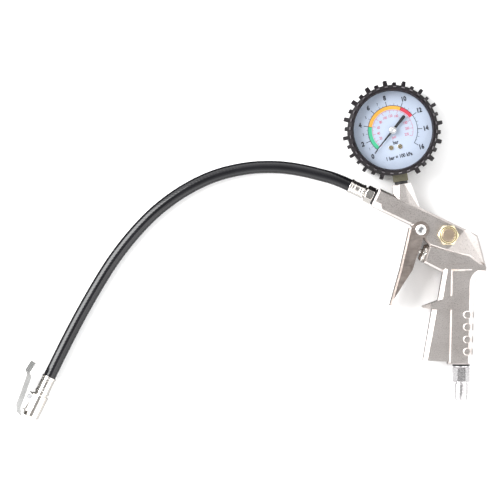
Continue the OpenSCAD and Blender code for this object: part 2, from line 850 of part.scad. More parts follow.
module boot_shell() {
    inner_r = case_r + 0.1;
    inner_top = case_top + 0.1;
    rotate_extrude($fn = fine) polygon([[boot_back_hole_r, 0], [boot_r - boot_foot, 0],
        [boot_r, boot_foot], [boot_r, boot_h - boot_shoulder], [boot_r - boot_shoulder, boot_h],
        [window_r + lip_slope[0], boot_h], [window_r, boot_h - lip_slope[1]], [window_r, inner_top],
        [inner_r, inner_top], [inner_r, boot_floor_t], [boot_back_hole_r, boot_floor_t]]);
}

// A lug: a flat block that wraps over the boot's front shoulder
module boot_lug(tip_r) {
    root = boot_r - 1.4;
    top = boot_h + lug_rise;
    rotate([90, 0, 0]) linear_extrude(lug_w, center = true) polygon([[root, lug_foot_z],
        [tip_r - 1, lug_foot_z], [tip_r, lug_foot_z + 1.5], [tip_r, lug_top_z],
        [tip_r - 0.8, lug_top_z + 2], [boot_r - 0.8, top], [root - 0.6, top],
        [root - 0.6, boot_h - boot_shoulder], [root, boot_h - 4]]);
}

module gauge_boot() {
    step = 360 / lug_places;
    color(black_rubber) in_gauge() difference() {
        union() {
            boot_shell();
            for (i = [0:lug_places - 1])
                if (abs(i - lug_places / 2) > 1)
                    rotate([0, 0, 90 + step * i]) boot_lug(i % 2 == 0 ? long_lug_r : short_lug_r);
        }
        stem_slot(boot_stem_slot_w, boot_slot_start_r);
    }
}

module gauge_lens() {
    color([0.9, 0.95, 1, 0.3]) in_gauge() translate([0, 0, lens_z])
        cylinder(r = case_r - case_wall - 0.1, h = lens_t, $fn = fine);
}

module lens_gasket() {
    color(black_rubber) in_gauge()
        ring(case_r - case_wall - 0.1, window_r + 0.1, gasket_z, gasket_t);
}

module gauge_dial() {
    color(dial_white) in_gauge() difference() {
        ring(dial_r, dial_hole_r, dial_z, dial_t);
        for (p = dial_screw_at)
            translate([p[0], p[1], dial_z - over])
                cylinder(r = dial_screw_hole_r, h = dial_t + 2 * over, $fn = 24);
    }
}

module dial_screws() {
    plate_top = front_plate_z + plate_t;
    head_z = dial_z + dial_t;
    color(brass_metal) in_gauge() for (p = dial_screw_at) translate([p[0], p[1], 0]) {
        translate([0, 0, plate_top]) cylinder(r = dial_screw_shank_r, h = head_z - plate_top, $fn = 24);
        translate([0, 0, head_z]) cylinder(r = dial_screw_r, h = dial_screw_head_t, $fn = small);
    }
}

// --- Gauge: pointer and movement -------------------------------------------------------------

// A tapered strip from the centre to x, its widths given at the centre and at x
module taper(x, w_centre, w_end) {
    start = -sign(x) * arbor_r / 2;
    polygon([[start, -w_centre / 2], [x, -w_end / 2], [x, w_end / 2], [start, w_centre / 2]]);
}

module gauge_pointer() {
    color(black_rubber) in_gauge() translate([0, 0, pointer_z]) rotate([0, 0, pointer_rest])
        linear_extrude(pointer_t) difference() {
            union() {
                taper(pointer_len, pointer_root_w, pointer_tip_w);
                taper(-pointer_tail_len + pointer_tail_w / 2, pointer_tail_root_w, pointer_tail_w - 0.2);
                translate([-pointer_tail_len + pointer_tail_w / 2, 0])
                    circle(d = pointer_tail_w, $fn = small);
                circle(pointer_disc_r, $fn = small);
            }
            circle(arbor_r, $fn = 24);
        }
}

module pointer_hub() {
    color(bright_metal) in_gauge() translate([0, 0, pointer_z + pointer_t])
        cylinder(r1 = hub_r, r2 = hub_r - hub_taper, h = hub_t, $fn = small);
}

// Outline of one gear tooth centred on +x, its half angles given in degrees at three radii
function tooth(root_r, pitch_r, tip_r, root_a, pitch_a, tip_a) = [
    root_r * [cos(root_a), -sin(root_a)], pitch_r * [cos(pitch_a), -sin(pitch_a)],
    tip_r * [cos(tip_a), -sin(tip_a)], tip_r * [cos(tip_a), sin(tip_a)],
    pitch_r * [cos(pitch_a), sin(pitch_a)], root_r * [cos(root_a), sin(root_a)]];

module pinion_teeth_2d() {
    root = pinion_r - 1.25 * gear_module;
    step = 360 / pinion_teeth;
    circle(root, $fn = small);
    for (i = [0:pinion_teeth - 1]) rotate(arbor_angle + step * i)
        polygon(tooth(root - 0.2, pinion_r, pinion_r + gear_module, 7, 6, 3));
}

module pinion_shaft() {
    color(spring_steel) in_gauge() {
        translate([0, 0, back_plate_z])
            cylinder(r = arbor_r, h = pointer_z + pointer_t - back_plate_z, $fn = 24);
        translate([0, 0, pinion_z]) linear_extrude(pinion_t) pinion_teeth_2d();
    }
}

// Teeth sit half a step off the line of centres, so that a gap faces the pinion's tooth
module sector_2d() {
    step = 360 / sector_full_teeth;
    to_pinion = arbor_angle - 180;
    root = sector_r - 1.25 * gear_module;
    first = floor((sector_from - to_pinion) / step);
    last = ceil((sector_to - to_pinion) / step) - 1;
    span = [for (a = [sector_from:5:sector_to]) root * [cos(a), sin(a)]];
    polygon(concat([[0, 0]], span));
    for (i = [first:last]) rotate(to_pinion + step * (i + 0.5))
        polygon(tooth(root - 0.4, sector_r, sector_r + gear_module, 0.9, 0.75, 0.35));
    circle(2, $fn = small);
    tail = tail_len * [cos(tail_angle), sin(tail_angle)];
    polygon([[1.4, 1.4], tail + [1, 1], tail + [1, -1], tail - [1, 1], [-1.4, -1.4]]);
    translate(tail) circle(1.5, $fn = small);
}

module sector_gear() {
    color(brass_metal) in_gauge() translate([arbor_at[0], arbor_at[1], 0]) {
        translate([0, 0, back_plate_z])
            cylinder(r = arbor_r, h = front_plate_z + plate_t - back_plate_z, $fn = 24);
        translate([0, 0, sector_z]) linear_extrude(sector_t) sector_2d();
        translate([tail_end[0] - arbor_at[0], tail_end[1] - arbor_at[1], sector_z])
            cylinder(r = link_pin_r, h = link_z + link_t - sector_z + 0.3, $fn = 24);
    }
}

module plate_2d() {
    difference() {
        union() {
            polygon(plate_outline);
            for (p = pillar_at) translate(p) circle(pillar_pad_r, $fn = coarse);
        }
        circle(arbor_r + arbor_gap, $fn = 24);
        translate(arbor_at) circle(arbor_r + arbor_gap, $fn = 24);
    }
}

// The sector, the link and the hairspring run between the two plates
module movement_plates() {
    color(brass_metal) in_gauge() {
        translate([0, 0, back_plate_z]) linear_extrude(plate_t) plate_2d();
        translate([0, 0, front_plate_z]) linear_extrude(plate_t) plate_2d();
    }
}

module movement_pillars() {
    z = back_plate_z + plate_t;
    color(brass_metal) in_gauge() for (p = pillar_at)
        translate([p[0], p[1], z]) cylinder(r = pillar_r, h = front_plate_z - z, $fn = coarse);
}

module movement_screws() {
    color(spring_steel) in_gauge() for (x = [-plate_screw_x, plate_screw_x])
        translate([x, plate_screw_y, back_plate_z + plate_t])
            cylinder(r = plate_screw_r, h = plate_screw_t, $fn = coarse);
}

module tube_section(half_t, flat) {
    square([2 * half_t, flat], center = true);
    for (s = [-1, 1]) translate([0, s * flat / 2]) circle(half_t, $fn = 24);
}

module bourdon_tube() {
    color(brass_metal) in_gauge() translate([0, 0, mid_z]) rotate([0, 0, tube_from])
        rotate_extrude(angle = tube_to - tube_from, $fn = fine) translate([tube_r, 0]) difference() {
            tube_section(tube_half_t, tube_flat);
            tube_section(tube_half_t - tube_wall, tube_flat);
        }
}

// A plug under the tube's closed end, with a tab that reaches under the link's far eye
module tube_tip() {
    tube_low_z = mid_z - tube_flat / 2 - tube_half_t;
    tab_z = link_z - link_gap - tip_tab[2];
    color(brass_metal) in_gauge() rotate([0, 0, tip_angle]) difference() {
        union() {
            translate([tube_r - tip_block[0] / 2, -tip_block[1], tube_low_z])
                cube([tip_block[0], tip_block[1], link_z - link_gap - tube_low_z]);
            translate([tube_r - tip_tab[0] * 0.6, -tip_block[1] + 0.2 - tip_tab[1], tab_z]) cube(tip_tab);
        }
        rotate([0, 0, -tip_eye_turn]) translate([tube_r, 0, tab_z - over])
            cylinder(r = link_pin_r, h = tip_tab[2] + 2 * over, $fn = 24);
    }
}

// Its far eye has a wide hole, so that the still tube tip lets it swing
module gauge_link() {
    line = link_end - tail_end;
    ang = atan2(line[1], line[0]);
    color(brass_metal) in_gauge() translate([tail_end[0], tail_end[1], link_z]) rotate([0, 0, ang])
        linear_extrude(link_t) difference() {
            union() {
                circle(link_eye_r, $fn = coarse);
                translate([0, -link_w / 2]) square([norm(line) - tip_hole_r, link_w]);
                translate([norm(line), 0]) circle(tip_eye_r, $fn = coarse);
            }
            circle(link_pin_r + arbor_gap, $fn = 24);
            translate([norm(line), 0]) circle(tip_hole_r, $fn = 24);
        }
}

module hairspring() {
    line = spiral(hairspring_r[0], hairspring_r[1], 3, 72);
    color(spring_steel) in_gauge() translate([0, 0, hairspring_z])
        linear_extrude(hairspring_h) polygon(strip(line, hairspring_t));
}

// --- Hose fittings at the nose ---------------------------------------------------------------

// A ring along x, from x forward of the nose
module nose_piece(from, len) {
    in_barrel() translate([nose_x - from - len, barrel_axis_y, 0]) rotate([0, 90, 0]) children();
}

module hose_washer() {
    color(black_rubber) nose_piece(0, hose_washer_t)
        ring(hose_washer_r, nose_thread_r + thread_gap, 0, hose_washer_t, small);
}

module hose_nut() {
    color(bright_metal) nose_piece(hose_washer_t, hose_nut_len) difference() {
        union() {
            rotate([0, 0, 30]) cylinder(d = hose_nut_flats / cos(30), h = hose_nut_len, $fn = hex_sides);
            cylinder(r = nose_thread_r, h = hose_nut_len + hose_washer_t + nut_thread_len, $fn = small);
        }
        translate([0, 0, -over]) cylinder(r = barb_neck_r + thread_gap, h = 4 * hose_nut_len, $fn = small);
    }
}

module hose_barb() {
    len = hose_washer_t + hose_nut_len + neck_groove_len;
    color(bright_metal) nose_piece(0, len) difference() {
        union() {
            translate([0, 0, neck_groove_len])
                cylinder(r = barb_neck_r, h = len - neck_groove_len + barb_reach, $fn = small);
            cylinder(r = barb_collar_r, h = neck_groove_len, $fn = small);
            translate([0, 0, -hose_ferrule_len]) cylinder(r = barb_r, h = hose_ferrule_len, $fn = small);
        }
        translate([0, 0, -hose_ferrule_len - over])
            cylinder(r = barb_bore_r, h = 3 * hose_ferrule_len, $fn = small);
    }
}

// A crimped ferrule: a sleeve with a rolled rim at each end and a shallow groove
module ferrule_sleeve(len) {
    rim = 0.35;
    band = 2;
    rotate_extrude($fn = fine) polygon([[ferrule_bore_r, 0], [ferrule_r - rim, 0], [ferrule_r, rim],
        [ferrule_r, band], [ferrule_r - rim, band + rim], [ferrule_r - rim, len - band - rim],
        [ferrule_r, len - band], [ferrule_r, len - rim], [ferrule_r - rim, len], [ferrule_bore_r, len]]);
}

module hose_ferrule() {
    color(bright_metal)
        nose_piece(hose_washer_t + hose_nut_len + neck_groove_len, hose_ferrule_len)
            ferrule_sleeve(hose_ferrule_len);
}

module hose() {
    color(black_rubber) swept_tube(hose_route, hose_d, hose_sides);
}

// --- Chuck -----------------------------------------------------------------------------------

module chuck_ferrule() {
    color(bright_metal) in_chuck() rotate([0, 90, 0]) ferrule_sleeve(chuck_ferrule_len);
}

module chuck_body() {
    block_len = side_block_to - side_block_from;
    color(bright_metal) in_chuck() difference() {
        union() {
            bar_x(0, 0, barb_r, chuck_ferrule_len);
            bar_x(chuck_ferrule_len, 0, chuck_r, chuck_end - chuck_ferrule_len);
            translate([side_block_from, side_block_y, -side_block_w / 2])
                cube([block_len, -side_block_y, side_block_w]);
            translate([lever_pin_at[0], lever_pin_at[1], 0])
                cylinder(r = knuckle_r, h = knuckle_w, center = true, $fn = small);
            translate([lever_pin_at[0] - knuckle_r, lever_pin_at[1], -knuckle_w / 2])
                cube([2 * knuckle_r, -lever_pin_at[1] - chuck_r / 2, knuckle_w]);
        }
        bar_x(-over, 0, barb_bore_r, chuck_end);
        bar_x(chuck_end - chuck_mouth_len, 0, mouth_r, chuck_mouth_len + over);
        bar_x(seal_groove_x(), 0, seal_groove_r, seal_groove_len);
        bar_x(seal_groove_x() - plunger_pocket_len, 0, plunger_pocket_r, plunger_pocket_len + over);
        translate([lever_pin_at[0], lever_pin_at[1], 0])
            cylinder(r = lever_pin_r, h = 2 * side_block_w, center = true, $fn = small);
    }
}

// Where the seal's groove starts
function seal_groove_x() = chuck_end - chuck_mouth_len - seal_groove_len;

module lever_ear_2d() {
    difference() {
        polygon(lever_ear);
        translate(lever_pin_at) circle(lever_pin_r + pin_gap, $fn = small);
    }
}

module chuck_lever() {
    inner = side_block_w / 2 + face_gap;
    color(bright_metal) in_chuck() {
        slab(strip(lever_line, lever_t), lever_w);
        for (z = [inner, -inner - lever_t]) translate([0, 0, z]) linear_extrude(lever_t) lever_ear_2d();
    }
}

module chuck_lever_pin() {
    half = side_block_w / 2 + face_gap + lever_t + 0.1;
    color(spring_steel) in_chuck() translate([lever_pin_at[0], lever_pin_at[1], 0]) {
        cylinder(r = lever_pin_r, h = 2 * half, center = true, $fn = small);
        for (s = [-1, 1]) translate([0, 0, s * (half + lever_head_t / 2)])
            cylinder(r = lever_head_r, h = lever_head_t, center = true, $fn = small);
    }
}

module chuck_lever_spring() {
    color(spring_steel) in_chuck() translate([lever_pin_at[0], lever_pin_at[1], 0])
        for (z = lever_spring_z) for (s = [-1, 1]) translate([0, 0, s * z]) rotate_extrude($fn = coarse)
            translate([lever_spring_r, 0]) circle(lever_spring_wire_r, $fn = 16);
}

module chuck_seal() {
    x = seal_groove_x() + 0.1;
    color(black_rubber) in_chuck() difference() {
        bar_x(x, 0, seal_groove_r - 0.02, seal_len);
        bar_x(x - over, 0, seal_hole_r, seal_len + 2 * over);
    }
}

module chuck_plunger() {
    color(brass_metal) in_chuck() {
        bar_x(plunger_from_x, 0, barb_bore_r - 0.05, plunger_tip_x - plunger_from_x, 24);
        bar_x(seal_groove_x() - 0.4, 0, plunger_disc_r, plunger_disc_t, 24);
    }
}

// --- Inlet -----------------------------------------------------------------------------------

module inlet_plug() {
    hex_y = handle_end_y - plug_neck_len;
    groove_y = hex_y - plug_hex_len;
    nose_y = groove_y - plug_groove_len;
    color(bright_metal) in_plan() difference() {
        union() {
            bar_down(inlet_x, handle_end_y + inlet_thread_len, inlet_thread_r,
                inlet_thread_len + plug_neck_len);
            translate([inlet_x, hex_y, 0]) rotate([90, 0, 0])
                cylinder(d = plug_hex_flats / cos(30), h = plug_hex_len, $fn = hex_sides);
            bar_down(inlet_x, groove_y, plug_groove_r, plug_groove_len);
            bar_down(inlet_x, nose_y, nose_r, nose_len);
            translate([inlet_x, nose_y - nose_len, 0]) rotate([90, 0, 0])
                cylinder(r1 = nose_r, r2 = plug_tip_r, h = plug_tip_len, $fn = small);
        }
        bar_down(inlet_x, handle_end_y + inlet_thread_len + over, plug_bore_r, plug_bore_len);
    }
}

module inlet_seal_washer() {
    color(black_rubber) in_plan() translate([inlet_x, handle_end_y - washer_t - 0.1, 0])
        rotate([-90, 0, 0]) ring(washer_outer_r, inlet_thread_r + thread_gap, 0, washer_t, small);
}

module inlet_filter() {
    color(brass_metal) in_plan() translate([inlet_x, handle_end_y + inlet_thread_len - filter_len - over, 0])
        rotate([-90, 0, 0]) cylinder(r = plug_bore_r - 0.02, h = filter_len, $fn = small);
}

gun_body();
trigger();
trigger_pin();
trigger_pin_clip();
valve_gland_nut();
valve_stem();
valve_stem_seal();
valve_seat();
valve_head_seal();
valve_spring();
bleed_valve_collar();
bleed_button();
bleed_spring();
bleed_seal();
gauge_stem();
gauge_seal_washer();
gauge_case();
gauge_boot();
gauge_lens();
lens_gasket();
gauge_dial();
dial_screws();
gauge_pointer();
pointer_hub();
pinion_shaft();
sector_gear();
movement_plates();
movement_pillars();
movement_screws();
bourdon_tube();
tube_tip();
gauge_link();
hairspring();
hose_washer();
hose_nut();
hose_barb();
hose_ferrule();
hose();
chuck_ferrule();
chuck_body();
chuck_lever();
chuck_lever_pin();
chuck_lever_spring();
chuck_seal();
chuck_plunger();
inlet_plug();
inlet_seal_washer();
inlet_filter();
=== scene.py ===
"""Looks of the tyre inflator with a gauge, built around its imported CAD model. Lengths are in metres."""

import json
import math

import bmesh
import bpy
from mathutils import Matrix, Vector


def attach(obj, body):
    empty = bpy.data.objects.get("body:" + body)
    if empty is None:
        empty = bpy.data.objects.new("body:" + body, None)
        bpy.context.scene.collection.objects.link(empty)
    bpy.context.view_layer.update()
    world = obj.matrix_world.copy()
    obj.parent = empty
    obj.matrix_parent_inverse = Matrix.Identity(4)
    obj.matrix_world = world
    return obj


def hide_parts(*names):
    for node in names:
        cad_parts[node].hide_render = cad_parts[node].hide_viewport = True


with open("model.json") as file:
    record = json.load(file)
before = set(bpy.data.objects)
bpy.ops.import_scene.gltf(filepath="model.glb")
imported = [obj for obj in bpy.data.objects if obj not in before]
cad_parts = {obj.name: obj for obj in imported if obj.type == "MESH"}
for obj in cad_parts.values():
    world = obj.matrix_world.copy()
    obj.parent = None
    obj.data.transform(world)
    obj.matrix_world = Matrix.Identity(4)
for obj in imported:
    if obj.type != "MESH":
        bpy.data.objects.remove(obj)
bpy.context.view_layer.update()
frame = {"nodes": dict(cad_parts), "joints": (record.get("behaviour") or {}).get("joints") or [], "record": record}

MM = 0.001
NODES = frame["nodes"]
JOINTS = {j["name"]: j for j in frame["joints"]}
MOUNTS = {m["name"]: m for m in frame["record"]["mounts"]}
SLOTS = {p["node"]: p["material_slot"] for p in frame["record"]["subparts"]}
UP = Vector((0, 0, 1))


# --- Frames of the object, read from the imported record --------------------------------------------


def axes_at(origin, x_axis, z_axis=UP):
    """A matrix with its origin there, x along x_axis and z close to z_axis."""
    x = Vector(x_axis).normalized()
    y = Vector(z_axis).cross(x).normalized()
    m = Matrix((x, y, x.cross(y))).transposed().to_4x4()
    m.translation = Vector(origin)
    return m


PIVOT = Vector(JOINTS["trigger_squeeze"]["pos_m"])
MID_Z = PIVOT.z
BARREL = axes_at(PIVOT, JOINTS["valve_open"]["axis"])
GAUGE_AT = Vector(JOINTS["pointer_turn"]["pos_m"])
ARBOR_AT = Vector(JOINTS["sector_turn"]["pos_m"])
ARBOR_ANGLE = math.radians(230)
_to_arbor = ARBOR_AT - GAUGE_AT
GAUGE_TURN = math.atan2(_to_arbor.y, _to_arbor.x) - ARBOR_ANGLE
GAUGE = Matrix.Translation((GAUGE_AT.x, GAUGE_AT.y, 0)) @ Matrix.Rotation(GAUGE_TURN, 4, "Z")
INLET = axes_at(MOUNTS["air_inlet"]["pos_m"], MOUNTS["air_inlet"]["axis"])

# The hose's centre line, from the gun to the chuck, as the CAD model has it
HOSE_ROUTE_MM = [
    (-51.4, 44.3, 13.8), (-58, 47.3, 13.6), (-66, 50.3, 13), (-75, 52.8, 12), (-85, 55.3, 10.9),
    (-96, 57.5, 9.8), (-107, 58.8, 8.8), (-118, 59.1, 7.9), (-129, 58.6, 7.1), (-140, 57, 6.4),
    (-151, 54.6, 5.8), (-162, 51.1, 5.4), (-173, 46.3, 5.2), (-184, 40.3, 5.1), (-195, 33, 5.1),
    (-206, 24.4, 5.1), (-216, 14.9, 5.1), (-226, 3.9, 5.1), (-236, -8.6, 5.1), (-245, -21.4, 5.1),
    (-254, -36, 5.1), (-262, -49.8, 5.2), (-270, -64.3, 5.5), (-278, -79.7, 6.1),
    (-285, -93.7, 6.6), (-288.8, -101.5, 6.7), (-292.6, -109.4, 6.7)]
HOSE_ROUTE = [Vector(p) * MM for p in HOSE_ROUTE_MM]
HOSE_D = 10 * MM
CHUCK = axes_at(HOSE_ROUTE[-1], MOUNTS["chuck_mouth"]["axis"], -Vector(JOINTS["chuck_clip_press"]["axis"]))


# --- Camera ---------------------------------------------------------------------------------------

VIEW_WIDTH = 0.4
LENS = 270
SENSOR = 36
CAMERA_AIM_Z = 0.02
PICTURE_CENTRE = (-131.4 * MM, -7.6 * MM)


def make_camera():
    """Straight above the object, as the photograph looks at it."""
    data = bpy.data.cameras.new("camera")
    data.lens = LENS
    data.sensor_width = SENSOR
    data.clip_end = 10
    camera = bpy.data.objects.new("camera", data)
    camera.location = (*PICTURE_CENTRE, CAMERA_AIM_Z + VIEW_WIDTH * LENS / SENSOR)
    bpy.context.scene.collection.objects.link(camera)
    bpy.context.scene.camera = camera


make_camera()


# --- Mesh helpers ---------------------------------------------------------------------------------

CORNER_STEPS = 4
ROUND_SIDES = 96
SPRING_STEPS = 24
WIRE_SIDES = 10
CLOSED_TURNS = 0.8


def link_mesh(name, bm, matrix=None):
    """A new object with bm's mesh in world coordinates, its local origin at the row's origin."""
    if matrix is not None:
        bmesh.ops.transform(bm, matrix=matrix, verts=bm.verts)
    bmesh.ops.recalc_face_normals(bm, faces=bm.faces)
    mesh = bpy.data.meshes.new(name)
    bm.to_mesh(mesh)
    bm.free()
    obj = bpy.data.objects.new(name, mesh)
    bpy.context.scene.collection.objects.link(obj)
    return obj


def smooth(obj, degrees=32):
    """Smooth shading, kept sharp where faces meet at more than that angle."""
    for face in obj.data.polygons:
        face.use_smooth = True
    obj.data.set_sharp_from_angle(angle=math.radians(degrees))


def bevel(obj, width, segments=3, degrees=30):
    """Rounds the edges that are sharper than the angle."""
    mod = obj.modifiers.new("edges", "BEVEL")
    mod.width = width
    mod.segments = segments
    mod.limit_method = "ANGLE"
    mod.angle_limit = math.radians(degrees)
    mod.use_clamp_overlap = True
    flat = obj.modifiers.new("flat faces", "WEIGHTED_NORMAL")
    flat.keep_sharp = True


def rounded(points, radius):
    """The open line of (x, r) points with each inner corner rounded."""
    line = [Vector(p) for p in points]
    out = [line[0]]
    for a, b, c in zip(line, line[1:], line[2:]):
        to_a = a - b
        to_c = c - b
        cut = min(radius, to_a.length * 0.45, to_c.length * 0.45)
        start = b + to_a.normalized() * cut
        end = b + to_c.normalized() * cut
        for i in range(CORNER_STEPS + 1):
            t = i / CORNER_STEPS
            out.append(start * (1 - t) ** 2 + b * 2 * t * (1 - t) + end * t**2)
    out.append(line[-1])
    return out


def full_turn(count):
    """The angles of count points, evenly round a circle."""
    return [2 * math.pi * k / count for k in range(count)]


def lathe(name, profile, matrix, closed=True):
    """Turns the (x, r) profile about the matrix's x axis. A closed profile joins its two ends."""
    bm = bmesh.new()
    rings = []
    for x, r in profile:
        if r < 1e-7:
            rings.append([bm.verts.new((x, 0, 0))])
            continue
        rings.append([bm.verts.new((x, r * math.cos(a), r * math.sin(a))) for a in full_turn(ROUND_SIDES)])
    pairs = list(zip(rings, rings[1:]))
    if closed:
        pairs.append((rings[-1], rings[0]))
    for low, high in pairs:
        bridge(bm, low, high)
    return link_mesh(name, bm, matrix)


def bridge(bm, low, high):
    """Faces between two rings, either of which may be a single point on the axis."""
    if len(low) == len(high) == 1:
        return
    for k in range(ROUND_SIDES):
        n = (k + 1) % ROUND_SIDES
        corners = [low[k % len(low)], low[n % len(low)], high[n % len(high)], high[k % len(high)]]
        unique = list(dict.fromkeys(corners))
        if len(unique) > 2:
            bm.faces.new(unique)


def hex_solid(name, flats, bore, x0, x1, matrix, turn, chamfer):
    """A hexagonal nut along x with both its corners turned down to a chamfer, and a bore."""
    bm = bmesh.new()
    half = flats / 2
    slope = math.tan(math.radians(30))
    cone_r = half * chamfer
    cone = (half / math.cos(math.pi / 6) - cone_r) * slope
    steps = [x0, *(x0 + cone * t for t in (0.25, 0.5, 0.75, 1))]
    steps += [x0 + x1 - s for s in reversed(steps)]
    rings = []
    for x in steps:
        depth = min(x - x0, x1 - x)
        limit = cone_r + depth / slope
        ring = []
        for a in full_turn(ROUND_SIDES):
            sector = (a + math.pi / 6) % (math.pi / 3) - math.pi / 6
            r = min(half / math.cos(sector), limit)
            ring.append(bm.verts.new((x, r * math.cos(a + turn), r * math.sin(a + turn))))
        rings.append(ring)
    for x in (x1, x0):
        turns = [a + turn for a in full_turn(ROUND_SIDES)]
        rings.append([bm.verts.new((x, bore * math.cos(a), bore * math.sin(a))) for a in turns])
    for low, high in zip(rings, rings[1:] + rings[:1]):
        bridge(bm, low, high)
    return link_mesh(name, bm, matrix)


def prism(name, outline, z0, z1, matrix, edge=0.0, segments=3):
    """A flat piece: the outline drawn up from z0 to z1, its edges rounded."""
    bm = bmesh.new()
    low = [bm.verts.new((p[0], p[1], z0)) for p in outline]
    high = [bm.verts.new((p[0], p[1], z1)) for p in outline]
    count = len(outline)
    bm.faces.new(low[::-1])
    bm.faces.new(high)
    for k in range(count):
        n = (k + 1) % count
        bm.faces.new([low[k], low[n], high[n], high[k]])
    obj = link_mesh(name, bm, matrix)
    if edge:
        bevel(obj, edge, segments)
    return obj


def smooth_route(points, per_span):
    """A Catmull-Rom line through the points."""
    ends = [2 * points[0] - points[1], *points, 2 * points[-1] - points[-2]]
    out = []
    for a, b, c, d in zip(ends, ends[1:], ends[2:], ends[3:]):
        for i in range(per_span):
            t = i / per_span
            out.append(0.5 * (2 * b + (c - a) * t + (2 * a - 5 * b + 4 * c - d) * t * t
                              + (3 * b - a - 3 * c + d) * t**3))
    out.append(points[-1].copy())
    return out


def sweep(name, line, radius, sides, matrix=None, up=UP):
    """A closed tube along a line. Its UV map runs along the tube and around it, in metres."""
    bm = bmesh.new()
    uv = bm.loops.layers.uv.new("along")
    rings = []
    travel = [0.0]
    for i, p in enumerate(line):
        ahead = line[min(i + 1, len(line) - 1)]
        behind = line[max(i - 1, 0)]
        heading = (ahead - behind).normalized()
        side = up.cross(heading).normalized()
        rise = heading.cross(side)
        ring = [p + radius * (math.cos(a) * side + math.sin(a) * rise) for a in full_turn(sides)]
        rings.append([bm.verts.new(corner) for corner in ring])
        if i:
            travel.append(travel[-1] + (p - line[i - 1]).length)
    around = 2 * math.pi * radius
    for i, (low, high) in enumerate(zip(rings, rings[1:])):
        for k in range(sides):
            n = (k + 1) % sides
            face = bm.faces.new([low[k], low[n], high[n], high[k]])
            marks = [(travel[i], k), (travel[i], k + 1), (travel[i + 1], k + 1), (travel[i + 1], k)]
            for loop, (x, row) in zip(face.loops, marks):
                loop[uv].uv = (x, around * row / sides)
    bm.faces.new(rings[0][::-1])
    bm.faces.new(rings[-1])
    return link_mesh(name, bm, matrix)


def spring(name, x0, x1, r, wire, turns, matrix):
    """A helical spring along the matrix's x axis with closed end turns."""
    count = int(turns * SPRING_STEPS)
    line = []
    for i in range(count + 1):
        t = i / count
        lead = min(max((t * turns - CLOSED_TURNS) / (turns - 2 * CLOSED_TURNS), 0), 1)
        a = 2 * math.pi * turns * t
        line.append(Vector((x0 + wire + (x1 - x0 - 2 * wire) * lead, r * math.cos(a), r * math.sin(a))))
    return sweep(name, line, wire, WIRE_SIDES, matrix, up=Vector((1, 0, 0)))


# --- Materials ------------------------------------------------------------------------------------


class Looks:
    """A material under construction: a Principled shader fed by a few procedural layers."""

    def __init__(self, name):
        self.material = bpy.data.materials.new(name)
        self.material.use_nodes = True
        self.tree = self.material.node_tree
        self.nodes = self.tree.nodes
        self.links = self.tree.links
        self.shader = self.nodes["Principled BSDF"]
        self.coordinates = self.nodes.new("ShaderNodeTexCoord")
        self.height = None

    def set(self, **values):
        """Sets shader sockets, with an underscore for each space in a socket's name."""
        for key, value in values.items():
            self.shader.inputs[key.replace("_", " ")].default_value = value
        return self

    def noise(self, scale, detail=3.0, rough=0.55, stretch=(1, 1, 1), turn=0.0):
        mapping = self.nodes.new("ShaderNodeMapping")
        mapping.inputs["Scale"].default_value = stretch
        mapping.inputs["Rotation"].default_value = (0, 0, turn)
        self.links.new(self.coordinates.outputs["Object"], mapping.inputs["Vector"])
        node = self.nodes.new("ShaderNodeTexNoise")
        node.inputs["Scale"].default_value = scale
        node.inputs["Detail"].default_value = detail
        node.inputs["Roughness"].default_value = rough
        self.links.new(mapping.outputs["Vector"], node.inputs["Vector"])
        return node.outputs["Fac"]

    def ramp(self, value, stops):
        node = self.nodes.new("ShaderNodeValToRGB")
        elements = node.color_ramp.elements
        while len(elements) < len(stops):
            elements.new(0.5)
        for element, (place, colour) in zip(elements, stops):
            element.position = place
            element.color = (*colour, 1)
        self.links.new(value, node.inputs["Fac"])
        return node.outputs["Color"]

    def blend(self, mode, factor, a, b):
        node = self.nodes.new("ShaderNodeMix")
        node.data_type = "RGBA"
        node.blend_type = mode
        node.inputs["Factor"].default_value = factor
        self.links.new(a, node.inputs["A"])
        self.links.new(b, node.inputs["B"])
        return node.outputs["Result"]

    def colour(self, value):
        self.links.new(value, self.shader.inputs["Base Color"])
        return self

    def roughness(self, value, low, high):
        node = self.nodes.new("ShaderNodeMapRange")
        node.inputs["From Min"].default_value = 0.3
        node.inputs["From Max"].default_value = 0.7
        node.inputs["To Min"].default_value = low
        node.inputs["To Max"].default_value = high
        self.links.new(value, node.inputs["Value"])
        self.links.new(node.outputs["Result"], self.shader.inputs["Roughness"])
        return self

    def bump(self, value, distance, strength=1.0):
        node = self.nodes.new("ShaderNodeBump")
        node.inputs["Distance"].default_value = distance
        node.inputs["Strength"].default_value = strength
        self.links.new(value, node.inputs["Height"])
        if self.height is not None:
            self.links.new(self.height, node.inputs["Normal"])
        self.height = node.outputs["Normal"]
        self.links.new(self.height, self.shader.inputs["Normal"])
        return self


def metal(name, dark, light, rough, grain, grain_depth, stretch=(1, 1, 1), anisotropy=0.0, turn=0.0,
          metallic=1.0):
    """A metal whose tone, gloss and surface vary with one broad and one fine noise."""
    look = Looks(name).set(Metallic=metallic, Anisotropic=anisotropy)
    broad = look.noise(90, 4)
    fine = look.noise(grain, 3, 0.65, stretch, turn=turn)
    tint = look.ramp(broad, [(0.3, dark), (0.7, light)])
    speck = look.ramp(fine, [(0.3, (0.8, 0.8, 0.8)), (0.62, (1, 1, 1))])
    look.colour(look.blend("MULTIPLY", 1.0, tint, speck))
    look.roughness(fine, *rough)
    look.bump(fine, grain_depth)
    return look.material


